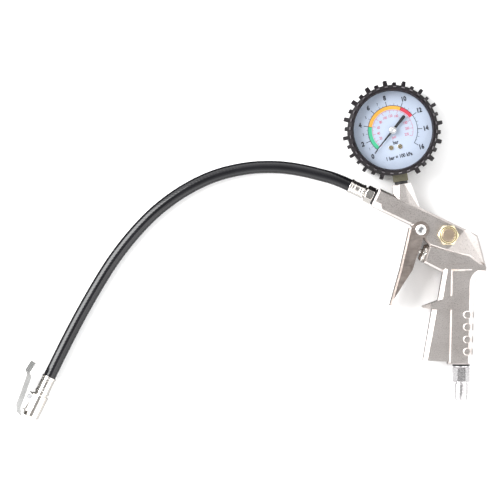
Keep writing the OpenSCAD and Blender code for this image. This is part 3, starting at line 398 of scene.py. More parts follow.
def rubber(name, dark, light, rough, grain, grain_depth, specular=0.5):
    """A black rubber with a faint colour drift, dusty patches and a moulded grain."""
    look = Looks(name).set(Specular_IOR_Level=specular)
    broad = look.noise(60, 4)
    fine = look.noise(grain, 3, 0.6)
    look.colour(look.ramp(broad, [(0.3, dark), (0.72, light)]))
    look.roughness(broad, *rough)
    look.bump(fine, grain_depth)
    return look.material


def hose_rubber():
    """Glossy black rubber with the slanted marks that the wrapping cloth leaves."""
    look = Looks("hose_rubber").set(Specular_IOR_Level=0.22, Coat_Weight=0.42, Coat_Roughness=0.1)
    mapping = look.nodes.new("ShaderNodeMapping")
    mapping.inputs["Rotation"].default_value = (0, 0, math.radians(52))
    look.links.new(look.coordinates.outputs["UV"], mapping.inputs["Vector"])
    wave = look.nodes.new("ShaderNodeTexWave")
    wave.inputs["Scale"].default_value = 190
    wave.inputs["Distortion"].default_value = 0.6
    wave.inputs["Detail"].default_value = 2
    wave.inputs["Detail Scale"].default_value = 1.5
    look.links.new(mapping.outputs["Vector"], wave.inputs["Vector"])
    broad = look.noise(45, 4)
    look.colour(look.ramp(broad, [(0.3, (0.003, 0.003, 0.004)), (0.72, (0.008, 0.008, 0.01))]))
    look.roughness(wave.outputs["Fac"], 0.16, 0.26)
    look.bump(wave.outputs["Fac"], 0.00006, 0.8)
    look.bump(look.noise(2200, 3), 0.00002, 0.6)
    return look.material


def cast_metal():
    """Satin nickel over a fine-grained casting: warm grey with pale specks."""
    look = Looks("cast_metal").set(Metallic=1.0)
    broad = look.noise(38, 5)
    grain = look.noise(1500, 3, 0.7)
    speck = look.noise(3400, 2, 0.6)
    tint = look.ramp(broad, [(0.28, (0.6, 0.55, 0.525)), (0.72, (0.76, 0.715, 0.69))])
    pits = look.ramp(grain, [(0.3, (0.7, 0.69, 0.68)), (0.56, (1, 1, 1))])
    look.colour(look.blend("MULTIPLY", 1.0, tint, pits))
    look.roughness(grain, 0.26, 0.4)
    look.bump(grain, 0.00003, 0.8)
    look.bump(speck, 0.00001, 0.7)
    return look.material


LENS_TINT = (0.97, 0.98, 1, 1)
LENS_GLOSS = (0.9, 0.93, 1, 1)
LENS_ROUGHNESS = (0.035, 0.05)
LENS_REFLECTION = (0.012, 0.8)
LENS_EDGE_POWER = 5
LENS_NOISE_SCALE = 12


def clear_lens():
    """A thin clear pane: mostly see-through, with a faint tint and its gloss."""
    material = bpy.data.materials.new("clear_lens")
    material.use_nodes = True
    nodes, links = material.node_tree.nodes, material.node_tree.links
    nodes.clear()
    out = nodes.new("ShaderNodeOutputMaterial")
    mix = nodes.new("ShaderNodeMixShader")
    tilt = nodes.new("ShaderNodeLayerWeight")
    curve = nodes.new("ShaderNodeMath")
    shine = nodes.new("ShaderNodeMapRange")
    clear = nodes.new("ShaderNodeBsdfTransparent")
    gloss = nodes.new("ShaderNodeBsdfPrincipled")
    noise = nodes.new("ShaderNodeTexNoise")
    spread = nodes.new("ShaderNodeMapRange")
    noise.inputs["Scale"].default_value = LENS_NOISE_SCALE
    spread.inputs["To Min"].default_value, spread.inputs["To Max"].default_value = LENS_ROUGHNESS
    clear.inputs["Color"].default_value = LENS_TINT
    tilt.inputs["Blend"].default_value = 0.5
    curve.operation = "POWER"
    curve.inputs[1].default_value = LENS_EDGE_POWER
    shine.inputs["To Min"].default_value, shine.inputs["To Max"].default_value = LENS_REFLECTION
    gloss.inputs["Base Color"].default_value = LENS_GLOSS
    gloss.inputs["Metallic"].default_value = 1.0
    links.new(noise.outputs["Fac"], spread.inputs["Value"])
    links.new(spread.outputs["Result"], gloss.inputs["Roughness"])
    links.new(tilt.outputs["Facing"], curve.inputs[0])
    links.new(curve.outputs["Value"], shine.inputs["Value"])
    links.new(shine.outputs["Result"], mix.inputs["Fac"])
    links.new(clear.outputs["BSDF"], mix.inputs[1])
    links.new(gloss.outputs["BSDF"], mix.inputs[2])
    links.new(mix.outputs["Shader"], out.inputs["Surface"])
    return material


def print_ink(name, tone, edge):
    """Printed ink: a matte colour that is a little thin in places."""
    look = Looks(name)
    noise = look.noise(1500, 3)
    look.colour(look.ramp(noise, [(0.35, tone), (0.75, edge)]))
    look.roughness(noise, 0.45, 0.6)
    look.bump(noise, 0.00001)
    return look.material


def dial_enamel():
    """The dial's bluish white paint, with a slight orange-peel surface."""
    look = Looks("dial_enamel").set(Specular_IOR_Level=0.3)
    broad = look.noise(70, 3)
    fine = look.noise(2600, 3)
    look.colour(look.ramp(broad, [(0.3, (0.43, 0.475, 0.54)), (0.7, (0.475, 0.52, 0.585))]))
    look.roughness(fine, 0.4, 0.55)
    look.bump(fine, 0.00001)
    return look.material


MATERIALS = {
    "cast_metal": cast_metal(),
    "pressed_sheet": metal("pressed_sheet", (0.36, 0.305, 0.275), (0.45, 0.39, 0.36), (0.28, 0.4), 700,
                           0.00003, (0.25, 1, 1), 0.3, math.radians(-70)),
    "bright_pin": metal("bright_pin", (0.9, 0.89, 0.88), (0.98, 0.97, 0.96), (0.14, 0.22), 1800, 0.000002),
    "spring_steel": metal("spring_steel", (0.3, 0.3, 0.31), (0.5, 0.5, 0.51), (0.22, 0.4), 1500, 0.000004),
    "chrome_fittings": metal("chrome_fittings", (0.78, 0.74, 0.69), (0.9, 0.87, 0.84), (0.13, 0.22),
                             900, 0.000003),
    "seal_rubber": rubber("seal_rubber", (0.008, 0.008, 0.009), (0.02, 0.02, 0.022), (0.4, 0.6), 1800,
                          0.00003),
    "brass": metal("brass", (0.76, 0.62, 0.36), (0.9, 0.78, 0.54), (0.2, 0.3), 1400, 0.000003),
    "button_metal": metal("button_metal", (0.5, 0.39, 0.29), (0.62, 0.5, 0.39), (0.3, 0.42), 2200,
                          0.000006),
    "stem_brass": metal("stem_brass", (0.3, 0.28, 0.2), (0.42, 0.4, 0.3), (0.28, 0.4), 1300, 0.000005),
    "case_steel": rubber("case_steel", (0.01, 0.01, 0.011), (0.02, 0.02, 0.022), (0.3, 0.4), 1500, 0.00002),
    "boot_rubber": rubber("boot_rubber", (0.005, 0.0035, 0.005), (0.011, 0.008, 0.01), (0.4, 0.52), 1400,
                          0.00003, 0.25),
    # A pale grey rubber for the marks on the boot's lugs
    "pale_lug_rubber": rubber("pale_lug_rubber", (0.06, 0.055, 0.06), (0.14, 0.13, 0.14), (0.3, 0.45), 1800, 0.00003),
    "clear_lens": clear_lens(),
    "dial_print": dial_enamel(),
    "pointer_black": print_ink("pointer_black", (0.004, 0.004, 0.004), (0.01, 0.01, 0.01)),
    "hose_rubber": hose_rubber(),
    "chuck_metal": metal("chuck_metal", (0.9, 0.84, 0.78), (0.99, 0.96, 0.92), (0.14, 0.24), 1100, 0.000003),
    "chuck_sheet": metal("chuck_sheet", (0.5, 0.5, 0.49), (0.6, 0.6, 0.59), (0.18, 0.28), 1000, 0.000003,
                         metallic=0.85),
    "plug_nickel": metal("plug_nickel", (0.76, 0.74, 0.75), (0.88, 0.86, 0.87), (0.2, 0.3), 1000, 0.000003),
    "hub_metal": metal("hub_metal", (0.8, 0.78, 0.74), (0.92, 0.9, 0.86), (0.3, 0.4), 1500, 0.000001),
    "ink_black": print_ink("ink_black", (0.008, 0.008, 0.012), (0.03, 0.03, 0.04)),
    "ink_red": print_ink("ink_red", (0.46, 0.035, 0.08), (0.52, 0.085, 0.14)),
    "ink_green": print_ink("ink_green", (0.05, 0.43, 0.2), (0.07, 0.47, 0.25)),
    "ink_yellow": print_ink("ink_yellow", (0.72, 0.34, 0.03), (0.78, 0.4, 0.06)),
    "ink_band_red": print_ink("ink_band_red", (0.54, 0.025, 0.045), (0.6, 0.045, 0.07)),
}


def dress(obj, slot, body, *replaced, look=None):
    """Gives a piece its material, picked by its slot unless a look is named, and its body, and hides the CAD nodes
    that it stands for.
    """
    obj.data.materials.clear()
    obj.data.materials.append(MATERIALS[look or slot])
    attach(obj, body)
    if replaced:
        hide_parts(*replaced)
    return obj


def keep(node, edge=0.0, segments=3, degrees=32, flat=True, fold=0.0):
    """Keeps a CAD node: its slot's material, and edges rounded enough to catch the light."""
    obj = NODES[node]
    material = MATERIALS[SLOTS[node]]
    if len(obj.material_slots):
        for place in obj.material_slots:
            place.material = material
    else:
        obj.data.materials.append(material)
    weld = obj.modifiers.new("weld", "WELD")
    weld.merge_threshold = 1e-6
    if flat:
        planar = obj.modifiers.new("planar", "DECIMATE")
        planar.decimate_type = "DISSOLVE"
        planar.angle_limit = math.radians(1)
    if fold:
        cut = obj.modifiers.new("fold", "BEVEL")
        cut.width = fold
        cut.segments = 1
        cut.limit_method = "WEIGHT"
    if edge:
        bevel(obj, edge, segments, degrees)
    smooth(obj, degrees)
    return obj


# --- Hose and chuck -------------------------------------------------------------------------------

CHUCK_NODES = ["chuck_ferrule", "chuck_body", "chuck_lever", "chuck_lever_pin", "chuck_lever_spring",
               "chuck_seal", "chuck_plunger"]
LEVER_PIN_AT = (20.6, -10.4)
KNUCKLE_R = 2.4
BLOCK_SIDE = -8.0
FERRULE_R = 5.8
FERRULE_WAIST = 5.42
FERRULE_RING = 5.22
FERRULE_BORE = 5.06


def mm_line(points):
    """Points given in millimetres as lengths in metres."""
    return [tuple(v * MM for v in p) for p in points]


def make_ferrule(name, node, length, matrix):
    """A crimped sleeve: rolled rims, a shallow waist and two pressed rings."""
    r, waist, ring, bore = FERRULE_R, FERRULE_WAIST, FERRULE_RING, FERRULE_BORE
    outline = [(0, bore), (0, r - 0.25), (0.25, r), (1.5, r), (1.9, waist), (3.6, waist), (4, ring),
               (4.4, waist), (length - 4.6, waist), (length - 4.2, ring), (length - 3.8, waist),
               (length - 2.2, waist), (length - 1.8, r), (length - 0.25, r), (length, r - 0.25),
               (length, bore)]
    obj = lathe(name, rounded(mm_line(outline), 0.3 * MM), matrix)
    smooth(obj, 50)
    return dress(obj, "chrome_fittings", "gun", node)


def make_chuck():
    """The clip-on chuck: tube, side block, clip lever, pin, springs, seal and plunger."""
    ferrule = make_ferrule("chuck_sleeve", "chuck_ferrule", 14.6, CHUCK)
    tube_points = [(14.7, 3), (14.7, 5.2), (16.2, 5.2), (16.6, 6.6), (34.9, 6.6), (35.6, 5.9), (35.6, 4.6),
                   (35.1, 4.1), (29, 4.1), (29, 4.85), (26.4, 4.85), (26.4, 3)]
    tube = lathe("chuck_tube", rounded(mm_line(tube_points), 0.35 * MM), CHUCK)
    smooth(tube, 40)
    dress(tube, "chuck_metal", "gun", "chuck_body")
    block_line = mm_line([(17, -5.4), (17, -8.2), (32.4, -8.2), (32.4, -5.4)])
    block = prism("chuck_side_block", block_line, -4.5 * MM, 4.5 * MM, CHUCK, 0.5 * MM)
    smooth(block)
    dress(block, "chuck_metal", "gun")
    knuckle = prism("chuck_knuckle", knuckle_outline(), -1.7 * MM, 1.7 * MM, CHUCK, 0.2 * MM)
    smooth(knuckle)
    dress(knuckle, "chuck_metal", "gun")
    keep("chuck_lever", 0.3 * MM)
    keep("chuck_lever_pin", 0.15 * MM)
    keep("chuck_lever_spring", flat=False)
    keep("chuck_seal", 0.15 * MM)
    keep("chuck_plunger", 0.15 * MM)
    return [ferrule, tube, block, knuckle] + [NODES[n] for n in CHUCK_NODES[2:]]


def knuckle_outline():
    """A round eye at the lever's pin, with straight sides down into the block."""
    x, y = LEVER_PIN_AT
    arc = [math.radians(180 + 180 * k / 24) for k in range(25)]
    points = [(x + KNUCKLE_R * math.cos(a), y + KNUCKLE_R * math.sin(a)) for a in arc]
    return mm_line([*points, (x + KNUCKLE_R, BLOCK_SIDE), (x - KNUCKLE_R, BLOCK_SIDE)])


def make_hose(pieces):
    """The hose, swept along its centre line."""
    line = smooth_route(HOSE_ROUTE, 6)
    hose = sweep("rubber_hose", line, HOSE_D / 2, 48)
    smooth(hose, 60)
    dress(hose, "hose_rubber", "gun", "hose")


make_hose(make_chuck())


# --- Hose fittings at the gun's nose --------------------------------------------------------------

FLAT_UP = math.radians(30)
NOSE_X = -44
BARREL_AXIS_Y = 7.85
NOSE = BARREL @ Matrix.Translation((NOSE_X * MM, BARREL_AXIS_Y * MM, 0)) @ Matrix.Rotation(math.pi, 4, "Z")


def make_nose_fittings():
    """Washer, swivel nut, barb collar and crimped ferrule, from the gun outwards along x."""
    washer = lathe("nose_washer", rounded(mm_line([(0, 4.95), (0, 6.6), (1.4, 6.6), (1.4, 4.95)]), 0.2 * MM),
                   NOSE)
    smooth(washer)
    dress(washer, "seal_rubber", "gun", "hose_washer")
    nut = hex_solid("swivel_nut", 12 * MM, 4.2 * MM, 1.4 * MM, 8.4 * MM, NOSE, FLAT_UP, 0.92)
    smooth(nut, 20)
    bevel(nut, 0.12 * MM, 2, 25)
    dress(nut, "chrome_fittings", "gun", "hose_nut")
    collar_points = [(1, 3.4), (8.4, 3.4), (8.45, 4.3), (8.8, 4.6), (9.5, 4.6), (9.8, 4.2), (9.8, 1.5),
                     (1, 1.5)]
    collar = lathe("barb_collar", rounded(mm_line(collar_points), 0.15 * MM), NOSE)
    smooth(collar)
    dress(collar, "chrome_fittings", "gun", "hose_barb")
    make_ferrule("nose_sleeve", "hose_ferrule", 12.6, NOSE @ Matrix.Translation((9.8 * MM, 0, 0)))


make_nose_fittings()


# --- Gun ------------------------------------------------------------------------------------------

VALVE_LINE_Y = -15.4
BLEED_AT = (21.5, 5.5, 10)
BLEED_TURN = math.radians(25.5)
PLUG_TOP = -20.3
TRIGGER_FRONT_MM = [(-3.9, 10.1), (-11.6, -23.4), (-19.6, -51.8)]
TRIGGER_HALF_W = 11
FOLD_REACH = 0.2 * MM


def mark_fold(obj):
    """Marks the two long edges of the trigger's front, where the sheet is folded."""
    mesh = obj.data
    weight = mesh.attributes.new("bevel_weight_edge", "FLOAT", "EDGE")
    line = [Vector(p) * MM for p in TRIGGER_FRONT_MM]
    for edge in mesh.edges:
        ends = [obj.matrix_world @ mesh.vertices[i].co for i in edge.vertices]
        outer = all(abs(p.z - MID_Z) > TRIGGER_HALF_W * MM for p in ends)
        level = abs(ends[0].z - ends[1].z) < FOLD_REACH / 2
        near = all(min(off_line(p.xy, a, b) for a, b in zip(line, line[1:])) < FOLD_REACH for p in ends)
        if outer and level and near:
            weight.data[edge.index].value = 1


def off_line(p, a, b):
    """Distance in plan of a point from the segment a-b."""
    along = b - a
    t = min(max((p - a).dot(along) / along.length_squared, 0), 1)
    return (p - a - along * t).length


def make_gun():
    """The casting and the trigger with its pin."""
    keep("gun_body", 0.35 * MM, 3, 7)
    mark_fold(NODES["trigger"])
    keep("trigger", 0.35 * MM, 3, 25, fold=1.8 * MM)
    upright = BARREL @ Matrix.Rotation(-math.pi / 2, 4, "Y")
    points = [(-12.9, 0), (-12.9, 2.2), (-12.6, 2.5), (12, 2.5), (12, 4.15), (12.2, 4.15), (13, 2.6),
              (12.9, 1.9), (11, 1.8), (11, 0)]
    pin = lathe("pin_head", rounded(mm_line(points), 0.2 * MM), upright, closed=False)
    smooth(pin, 35)
    dress(pin, "bright_pin", "gun", "trigger_pin")
    cup_points = [(10.9, 0), (10.9, 1.85), (12.7, 1.95), (12.8, 1.75), (11.8, 1.1), (11.6, 0)]
    cup = lathe("pin_cup", rounded(mm_line(cup_points), 0.15 * MM), upright, closed=False)
    smooth(cup, 35)
    dress(cup, "spring_steel", "gun")
    keep("trigger_pin_clip", 0.1 * MM)


def make_valves():
    """The gland nut, the valve line and the bleed valve."""
    line = BARREL @ Matrix.Translation((0, VALVE_LINE_Y * MM, 0))
    gland_points = [(8, 1.7), (8, 5.6), (8.5, 6.6), (9.4, 6.9), (9.8, 7.7), (11.2, 7.7), (11.5, 7.2),
                    (11.9, 7.2), (12.1, 7.7), (12.4, 7.7), (12.4, 5.9), (21.4, 5.9), (21.4, 3.5), (19.4, 3.5),
                    (19.4, 1.7)]
    gland = lathe("gland_nut", rounded(mm_line(gland_points), 0.25 * MM), line)
    smooth(gland, 35)
    dress(gland, "chrome_fittings", "gun", "valve_gland_nut")
    for node in ("valve_stem", "valve_stem_seal", "valve_seat", "valve_head_seal"):
        keep(node, 0.15 * MM)
    coil = spring("valve_coil", 32.2 * MM, 42 * MM, 3.6 * MM, 0.5 * MM, 5, line)
    smooth(coil, 60)
    dress(coil, "spring_steel", "gun", "valve_spring")
    bleed = BARREL @ Matrix.Translation(Vector(BLEED_AT) * MM) @ Matrix.Rotation(-math.pi / 2, 4, "Y")
    nut = hex_solid("bleed_hexagon", 15 * MM, 5.2 * MM, 0, 4.6 * MM, bleed, BLEED_TURN, 0.95)
    smooth(nut, 20)
    bevel(nut, 0.15 * MM, 2, 25)
    dress(nut, "brass", "gun", "bleed_valve_collar")
    lip_points = [(-10, 3.2), (-10, 5), (0, 5), (0, 5.6), (4.5, 6.2), (4.9, 6.2), (5.3, 5.9), (5.3, 5.1),
                  (5.0, 4.9), (2.1, 4.9), (2.1, 1.5), (-2, 1.5), (-2, 3.2)]
    lip = lathe("bleed_lip", rounded(mm_line(lip_points), 0.2 * MM), bleed)
    smooth(lip, 35)
    dress(lip, "brass", "gun")
    button_points = [(-11, 1e-6), (-11, 1.4), (4.9, 1.4), (4.9, 4.85), (5.6, 4.85), (5.85, 4.6), (5.8, 4.3),
                     (5.75, 0)]
    button = lathe("bleed_push_button", rounded(mm_line(button_points), 0.2 * MM), bleed, closed=False)
    smooth(button, 35)
    dress(button, "button_metal", "bleed_plunger", "bleed_button")
    coil = spring("bleed_coil", 2.1 * MM, 4.9 * MM, 3.2 * MM, 0.3 * MM, 3.5, bleed)
    smooth(coil, 60)
    dress(coil, "spring_steel", "gun", "bleed_spring")
    keep("bleed_seal", 0.1 * MM)


def make_inlet():
    """The plug under the grip: neck, hexagon, groove, coupler nose and its bore."""
    start = INLET @ Matrix.Translation((PLUG_TOP * MM, 0, 0))
    hexagon = hex_solid("plug_hexagon", 12 * MM, 4 * MM, 2.4 * MM, 14.4 * MM, start, FLAT_UP, 0.95)
    smooth(hexagon, 20)
    bevel(hexagon, 0.15 * MM, 2, 25)
    dress(hexagon, "plug_nickel", "gun", "inlet_plug")
    points = [(-11, 2.5), (-11, 6.2), (0.05, 6.2), (2.4, 6.2), (2.4, 5), (14.4, 5), (14.4, 4.4), (15.8, 4.4),
              (15.8, 5.1), (16.1, 5.3), (24.8, 5.3), (28.6, 4.65), (29, 4.2), (29, 3), (28.6, 2.5)]
    nose = lathe("plug_nose", rounded(mm_line(points), 0.25 * MM), start)
    smooth(nose, 35)
    dress(nose, "plug_nickel", "gun")
    keep("inlet_seal_washer", 0.2 * MM)
    keep("inlet_filter", 0.1 * MM)


make_gun()
make_valves()
make_inlet()


# --- Gauge ----------------------------------------------------------------------------------------

DIAL_TOP = 21.0
PRINT_T = 0.05
BAND_R = (16.8, 19.6)
BAR_LINE_R = (19.6, 20.05)
BAR_TICK_FOOT = 19.7
BAR_NUMBER_R = 26.4
BAR_NUMBER_SIZE = 5.1
SMALL_NUMBER_R = 23.8
SMALL_NUMBER_SIZE = 3
SMALL_NUMBERS_BELOW = 8
PSI_LINE_R = (16.1, 16.35)
PSI_NUMBER_R = 11.6
PSI_NUMBER_SIZE = 3.1
PSI_STEP = 10
TOP_PSI = 220
ARC_STEP = math.radians(2)
PRINT_TILT = math.radians(4)
FIRST_ANGLE = 223.6
FIRST_DEGREES_PER_BAR = 13.75
DEGREES_PER_BAR = 16.82
BAND_START = 0.15
PSI_PER_BAR = 14.5038
TOP_BAR = 16


def at_value(bar):
    """Angle of a reading on the dial, in the gauge's own frame. The first two bar are closer together."""
    if bar < 2:
        return math.radians(FIRST_ANGLE - FIRST_DEGREES_PER_BAR * bar)
    return math.radians(FIRST_ANGLE - 2 * FIRST_DEGREES_PER_BAR - DEGREES_PER_BAR * (bar - 2))


def add_wedge(bm, r0, r1, a0, a1, z0, z1):
    """A closed slice of a ring."""
    count = max(1, math.ceil(abs(a1 - a0) / ARC_STEP))
    rows = []
    for i in range(count + 1):
        a = a0 + (a1 - a0) * i / count
        c, s = math.cos(a), math.sin(a)
        rows.append([bm.verts.new((r * c, r * s, z)) for r, z in ((r0, z0), (r1, z0), (r1, z1), (r0, z1))])
    for low, high in zip(rows, rows[1:]):
        for k in range(4):
            n = (k + 1) % 4
            bm.faces.new([low[k], low[n], high[n], high[k]])
    bm.faces.new(rows[0][::-1])
    bm.faces.new(rows[-1])


def add_tick(bm, bar, r0, r1, width, z0, z1):
    """A straight radial mark."""
    a = at_value(bar)
    along = Vector((math.cos(a), math.sin(a), 0))
    across = Vector((-math.sin(a), math.cos(a), 0)) * width / 2
    corners = [along * r0 - across, along * r1 - across, along * r1 + across, along * r0 + across]
    low = [bm.verts.new(p + UP * z0) for p in corners]
    high = [bm.verts.new(p + UP * z1) for p in corners]
    bm.faces.new(low[::-1])
    bm.faces.new(high)
    for k in range(4):
        n = (k + 1) % 4
        bm.faces.new([low[k], low[n], high[n], high[k]])


def add_text(bm, words, size, place, weight, z0, z1, narrow=0.85):
    """Printed words, upright on the dial, joined into the mesh."""
    curve = bpy.data.curves.new("words", "FONT")
    curve.body = words
    curve.size = size
    curve.align_x = "CENTER"
    curve.align_y = "CENTER"
    curve.offset = weight
    curve.extrude = (z1 - z0) / 2
    curve.resolution_u = 3
    holder = bpy.data.objects.new("words", curve)
    bpy.context.scene.collection.objects.link(holder)
    shape = bpy.data.meshes.new_from_object(holder.evaluated_get(bpy.context.evaluated_depsgraph_get()))
    turn = Matrix.Rotation(PRINT_TILT, 4, "Z")
    squeeze = Matrix.Diagonal((narrow, 1, 1, 1))
    shape.transform(Matrix.Translation((*place, (z0 + z1) / 2)) @ turn @ squeeze)
    bm.from_mesh(shape)
    bpy.data.objects.remove(holder)
    bpy.data.curves.remove(curve)
    bpy.data.meshes.remove(shape)


def mm(values):
    """Millimetres as metres."""
    return [v * MM for v in values]


def polar(r, angle):
    return (r * math.cos(angle), r * math.sin(angle))


def make_print():
    """Everything printed on the dial: two scales, three bands and their words."""
    low, high = DIAL_TOP * MM, (DIAL_TOP + PRINT_T) * MM
    black, red = bmesh.new(), bmesh.new()
    bands = [("ink_green", BAND_START, 4), ("ink_yellow", 4, 10), ("ink_band_red", 10, 12)]
    for look, first, last in bands:
        bm = bmesh.new()
        add_wedge(bm, *mm(BAND_R), at_value(first), at_value(last), low, high)
        band = link_mesh(look.replace("ink", "band"), bm, GAUGE)
        dress(band, "dial_print", "gun", look=look)
    add_wedge(black, *mm(BAR_LINE_R), at_value(0), at_value(TOP_BAR), low, high)
    for k in range(TOP_BAR * 2 + 1):
        bar = k / 2
        if k % 4 == 0:
            add_tick(black, bar, *mm((BAR_TICK_FOOT, 23.6, 0.5)), low, high)
            place = polar(BAR_NUMBER_R * MM, at_value(bar))
            add_text(black, str(k // 2), BAR_NUMBER_SIZE * MM, place, 0.26 * MM, low, high)
        elif k % 2 == 0:
            add_tick(black, bar, *mm((BAR_TICK_FOOT, 21.8, 0.26)), low, high)
            if bar < SMALL_NUMBERS_BELOW:
                place = polar(SMALL_NUMBER_R * MM, at_value(bar))
                add_text(black, str(k // 2), SMALL_NUMBER_SIZE * MM, place, 0.04 * MM, low, high)
        else:
            add_tick(black, bar, *mm((BAR_TICK_FOOT, 21, 0.2)), low, high)
    for edge in (4, 10):
        add_tick(black, edge, *mm((BAND_R[0], 20, 0.3)), low, high + 0.01 * MM)
    add_wedge(red, *mm(PSI_LINE_R), at_value(0), at_value(TOP_PSI / PSI_PER_BAR), low, high)
    for psi in range(0, TOP_PSI + 1, PSI_STEP):
        bar = psi / PSI_PER_BAR
        long = psi % (2 * PSI_STEP) == 0
        add_tick(red, bar, *mm((13.8, 16.2, 0.3) if long else (15, 16.2, 0.2)), low, high)
        if long and psi:
            place = polar(PSI_NUMBER_R * MM, at_value(bar))
            add_text(red, str(psi), PSI_NUMBER_SIZE * MM, place, 0.04 * MM, low, high, 0.75)
    add_text(red, "psi", 3.4 * MM, (0.1 * MM, -5.5 * MM), 0.03 * MM, low, high)
    add_text(black, "bar", 4 * MM, (0.7 * MM, -9.9 * MM), 0.14 * MM, low, high)
    add_text(black, "1 bar = 100 kPa", 4.1 * MM, (1.6 * MM, -21.5 * MM), 0.16 * MM, low, high, 0.82)
    for name, bm, look in (("print_black", black, "ink_black"), ("print_red", red, "ink_red")):
        dress(link_mesh(name, bm, GAUGE), "dial_print", "gun", look=look)


POINTER_ANGLE = math.radians(222)
POINTER_Z = 23
POINTER_T = 0.5
POINTER_REACH = 23.4
TAIL_LEN = 15.1
TAIL_HALF_W = 1.35


def make_pointer():
    """The pointer, thin to its tip with a round-ended tail, and its hub with a dimple."""
    turned = GAUGE @ Matrix.Translation((0, 0, POINTER_Z * MM)) @ Matrix.Rotation(POINTER_ANGLE, 4, "Z")
    arc = [math.radians(90 + 180 * k / 16) for k in range(17)]
    end = [(TAIL_HALF_W * (1 + math.cos(a)) - TAIL_LEN, TAIL_HALF_W * math.sin(a)) for a in arc]
    outline = [(POINTER_REACH, 0.18), (1.5, 0.9), *end, (1.5, -0.9), (POINTER_REACH, -0.18)]
    needle = prism("needle", mm_line(outline), 0, POINTER_T * MM, turned, 0.12 * MM, 2)
    smooth(needle)
    dress(needle, "pointer_black", "pointer", "gauge_pointer")
    above = Matrix.Translation((0, 0, (POINTER_Z + POINTER_T) * MM))
    top = GAUGE @ above @ Matrix.Rotation(-math.pi / 2, 4, "Y")
    points = [(0, 1e-6), (0, 3), (0.9, 3), (1.45, 2.5), (1.5, 1.5), (1.2, 1.15), (1.0, 0)]
    hub = lathe("hub_cap", rounded(mm_line(points), 0.25 * MM), top, closed=False)
    smooth(hub, 50)
    dress(hub, "chrome_fittings", "pointer", "pointer_hub", look="hub_metal")


LUG_PLACES = 32
LUG_MARK_R = (34.2, 35)
LUG_MARK_Z = (31.3, 31.85)
LUG_MARK_HALF_ANGLE = 0.036


def make_lug_marks():
    """Pale marks on the tops of the boot's lugs, lighter than the rubber around them."""
    bm = bmesh.new()
    half = LUG_MARK_HALF_ANGLE
    for middle in full_turn(LUG_PLACES):
        add_wedge(bm, *mm(LUG_MARK_R), middle - half, middle + half, *mm(LUG_MARK_Z))
    marks = link_mesh("lug_marks", bm, GAUGE)
    bevel(marks, 0.04 * MM, 2)
    dress(marks, "boot_rubber", "gun", look="pale_lug_rubber")


def make_gauge():
    """Boot, case, lens, dial, stem and the movement behind the dial."""
    keep("gauge_boot", 0.3 * MM, 2, 30)
    keep("gauge_case", 0.15 * MM, 2)
    keep("gauge_lens", 0.2 * MM, 2)
    keep("lens_gasket", 0.15 * MM, 2)
    keep("gauge_dial", 0.08 * MM, 2)
    keep("gauge_stem", 0.35 * MM)
    keep("gauge_seal_washer", 0.2 * MM)
    keep("dial_screws", 0.2 * MM)
    for node in ("pinion_shaft", "sector_gear", "movement_plates", "movement_pillars", "movement_screws",
                 "tube_tip", "gauge_link", "hairspring"):
        keep(node, 0.05 * MM, 1)
    keep("bourdon_tube", flat=False)
    make_lug_marks()
    make_print()
    make_pointer()


make_gauge()


# --- Floor and light ------------------------------------------------------------------------------


FLOOR_HALF = 3.0
FLOOR_Z = -0.2 * MM


def make_floor():
    """A plain white floor, seamless at the picture's edges."""
    bm = bmesh.new()
    half = FLOOR_HALF
    corners = [(-half, -half), (half, -half), (half, half), (-half, half)]
    bm.faces.new([bm.verts.new((x, y, FLOOR_Z)) for x, y in corners])
    floor = link_mesh("floor", bm)
    look = Looks("floor_paper").set(Specular_IOR_Level=0.1)
    noise = look.noise(6, 2)
    look.colour(look.ramp(noise, [(0.2, (0.93, 0.93, 0.93)), (0.8, (0.95, 0.95, 0.95))]))
    look.roughness(noise, 0.8, 0.9)
    floor.data.materials.append(look.material)
    floor.visible_glossy = False


ZENITH = 0.32
HORIZON = 2.6
BELOW = 0.95
BELOW_DARK = 0.02
UNDERFOOT = 0.06
DARK_SIDE = (-0.34, 0.94, 0)
RISE = (0.35, 0.98)
HORIZON_EDGE = (-0.04, 0.04)
DARK_EDGE = (0.35, 0.6)
UNDERFOOT_EDGE = (-0.96, -0.8)


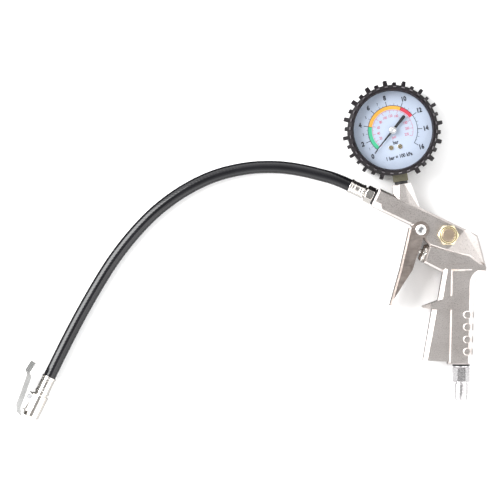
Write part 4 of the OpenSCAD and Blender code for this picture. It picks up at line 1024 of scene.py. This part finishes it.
def make_world():
    """A studio that is dim overhead, bright all round, and dark straight below and below one side."""
    world = bpy.data.worlds.new("studio")
    bpy.context.scene.world = world
    world.use_nodes = True
    nodes, links = world.node_tree.nodes, world.node_tree.links
    coordinates = nodes.new("ShaderNodeTexCoord")
    split = nodes.new("ShaderNodeSeparateXYZ")
    links.new(coordinates.outputs["Generated"], split.inputs["Vector"])

    def spread(value, span, at_low, at_high):
        node = nodes.new("ShaderNodeMapRange")
        node.inputs["From Min"].default_value, node.inputs["From Max"].default_value = span
        node.inputs["To Min"].default_value = at_low
        node.inputs["To Max"].default_value = at_high
        links.new(value, node.inputs["Value"])
        return node.outputs["Result"]

    sideways = nodes.new("ShaderNodeVectorMath")
    sideways.operation = "DOT_PRODUCT"
    sideways.inputs[1].default_value = DARK_SIDE
    links.new(coordinates.outputs["Generated"], sideways.inputs[0])
    join = nodes.new("ShaderNodeMix")
    links.new(spread(split.outputs["Z"], HORIZON_EDGE, 0, 1), join.inputs["Factor"])
    below = nodes.new("ShaderNodeMath")
    below.operation = "MULTIPLY"
    links.new(spread(sideways.outputs["Value"], DARK_EDGE, BELOW, BELOW_DARK), below.inputs[0])
    links.new(spread(split.outputs["Z"], UNDERFOOT_EDGE, UNDERFOOT, 1), below.inputs[1])
    links.new(below.outputs["Value"], join.inputs["A"])
    links.new(spread(split.outputs["Z"], RISE, HORIZON, ZENITH), join.inputs["B"])
    nodes["Background"].inputs["Color"].default_value = (1, 1, 1, 1)
    links.new(join.outputs["Result"], nodes["Background"].inputs["Strength"])


# Each softbox: its name, direction, distance, size and power
SOFTBOXES = [
    ("key", (0.42, -0.35, 0.82), 1.6, (0.6, 0.6), 3),
    ("hose_side", (-0.72, 0.36, 0.6), 1.5, (0.9, 1.3), 40),
    ("fill", (0.5, -0.7, 0.45), 1.8, (1.0, 1.0), 2)]
LIGHT_AIM = Vector((-0.06, 0, 0.01))


def make_softbox(name, direction, distance, size, power):
    """A rectangular area light that faces the object."""
    data = bpy.data.lights.new(name, "AREA")
    data.shape = "RECTANGLE"
    data.size, data.size_y = size
    data.energy = power
    light = bpy.data.objects.new(name, data)
    towards = Vector(direction).normalized()
    light.location = LIGHT_AIM + towards * distance
    light.rotation_euler = towards.to_track_quat("Z", "Y").to_euler()
    bpy.context.scene.collection.objects.link(light)


def make_lights():
    bpy.context.scene.view_settings.view_transform = "Standard"
    for softbox in SOFTBOXES:
        make_softbox(*softbox)


make_floor()
make_world()
make_lights()
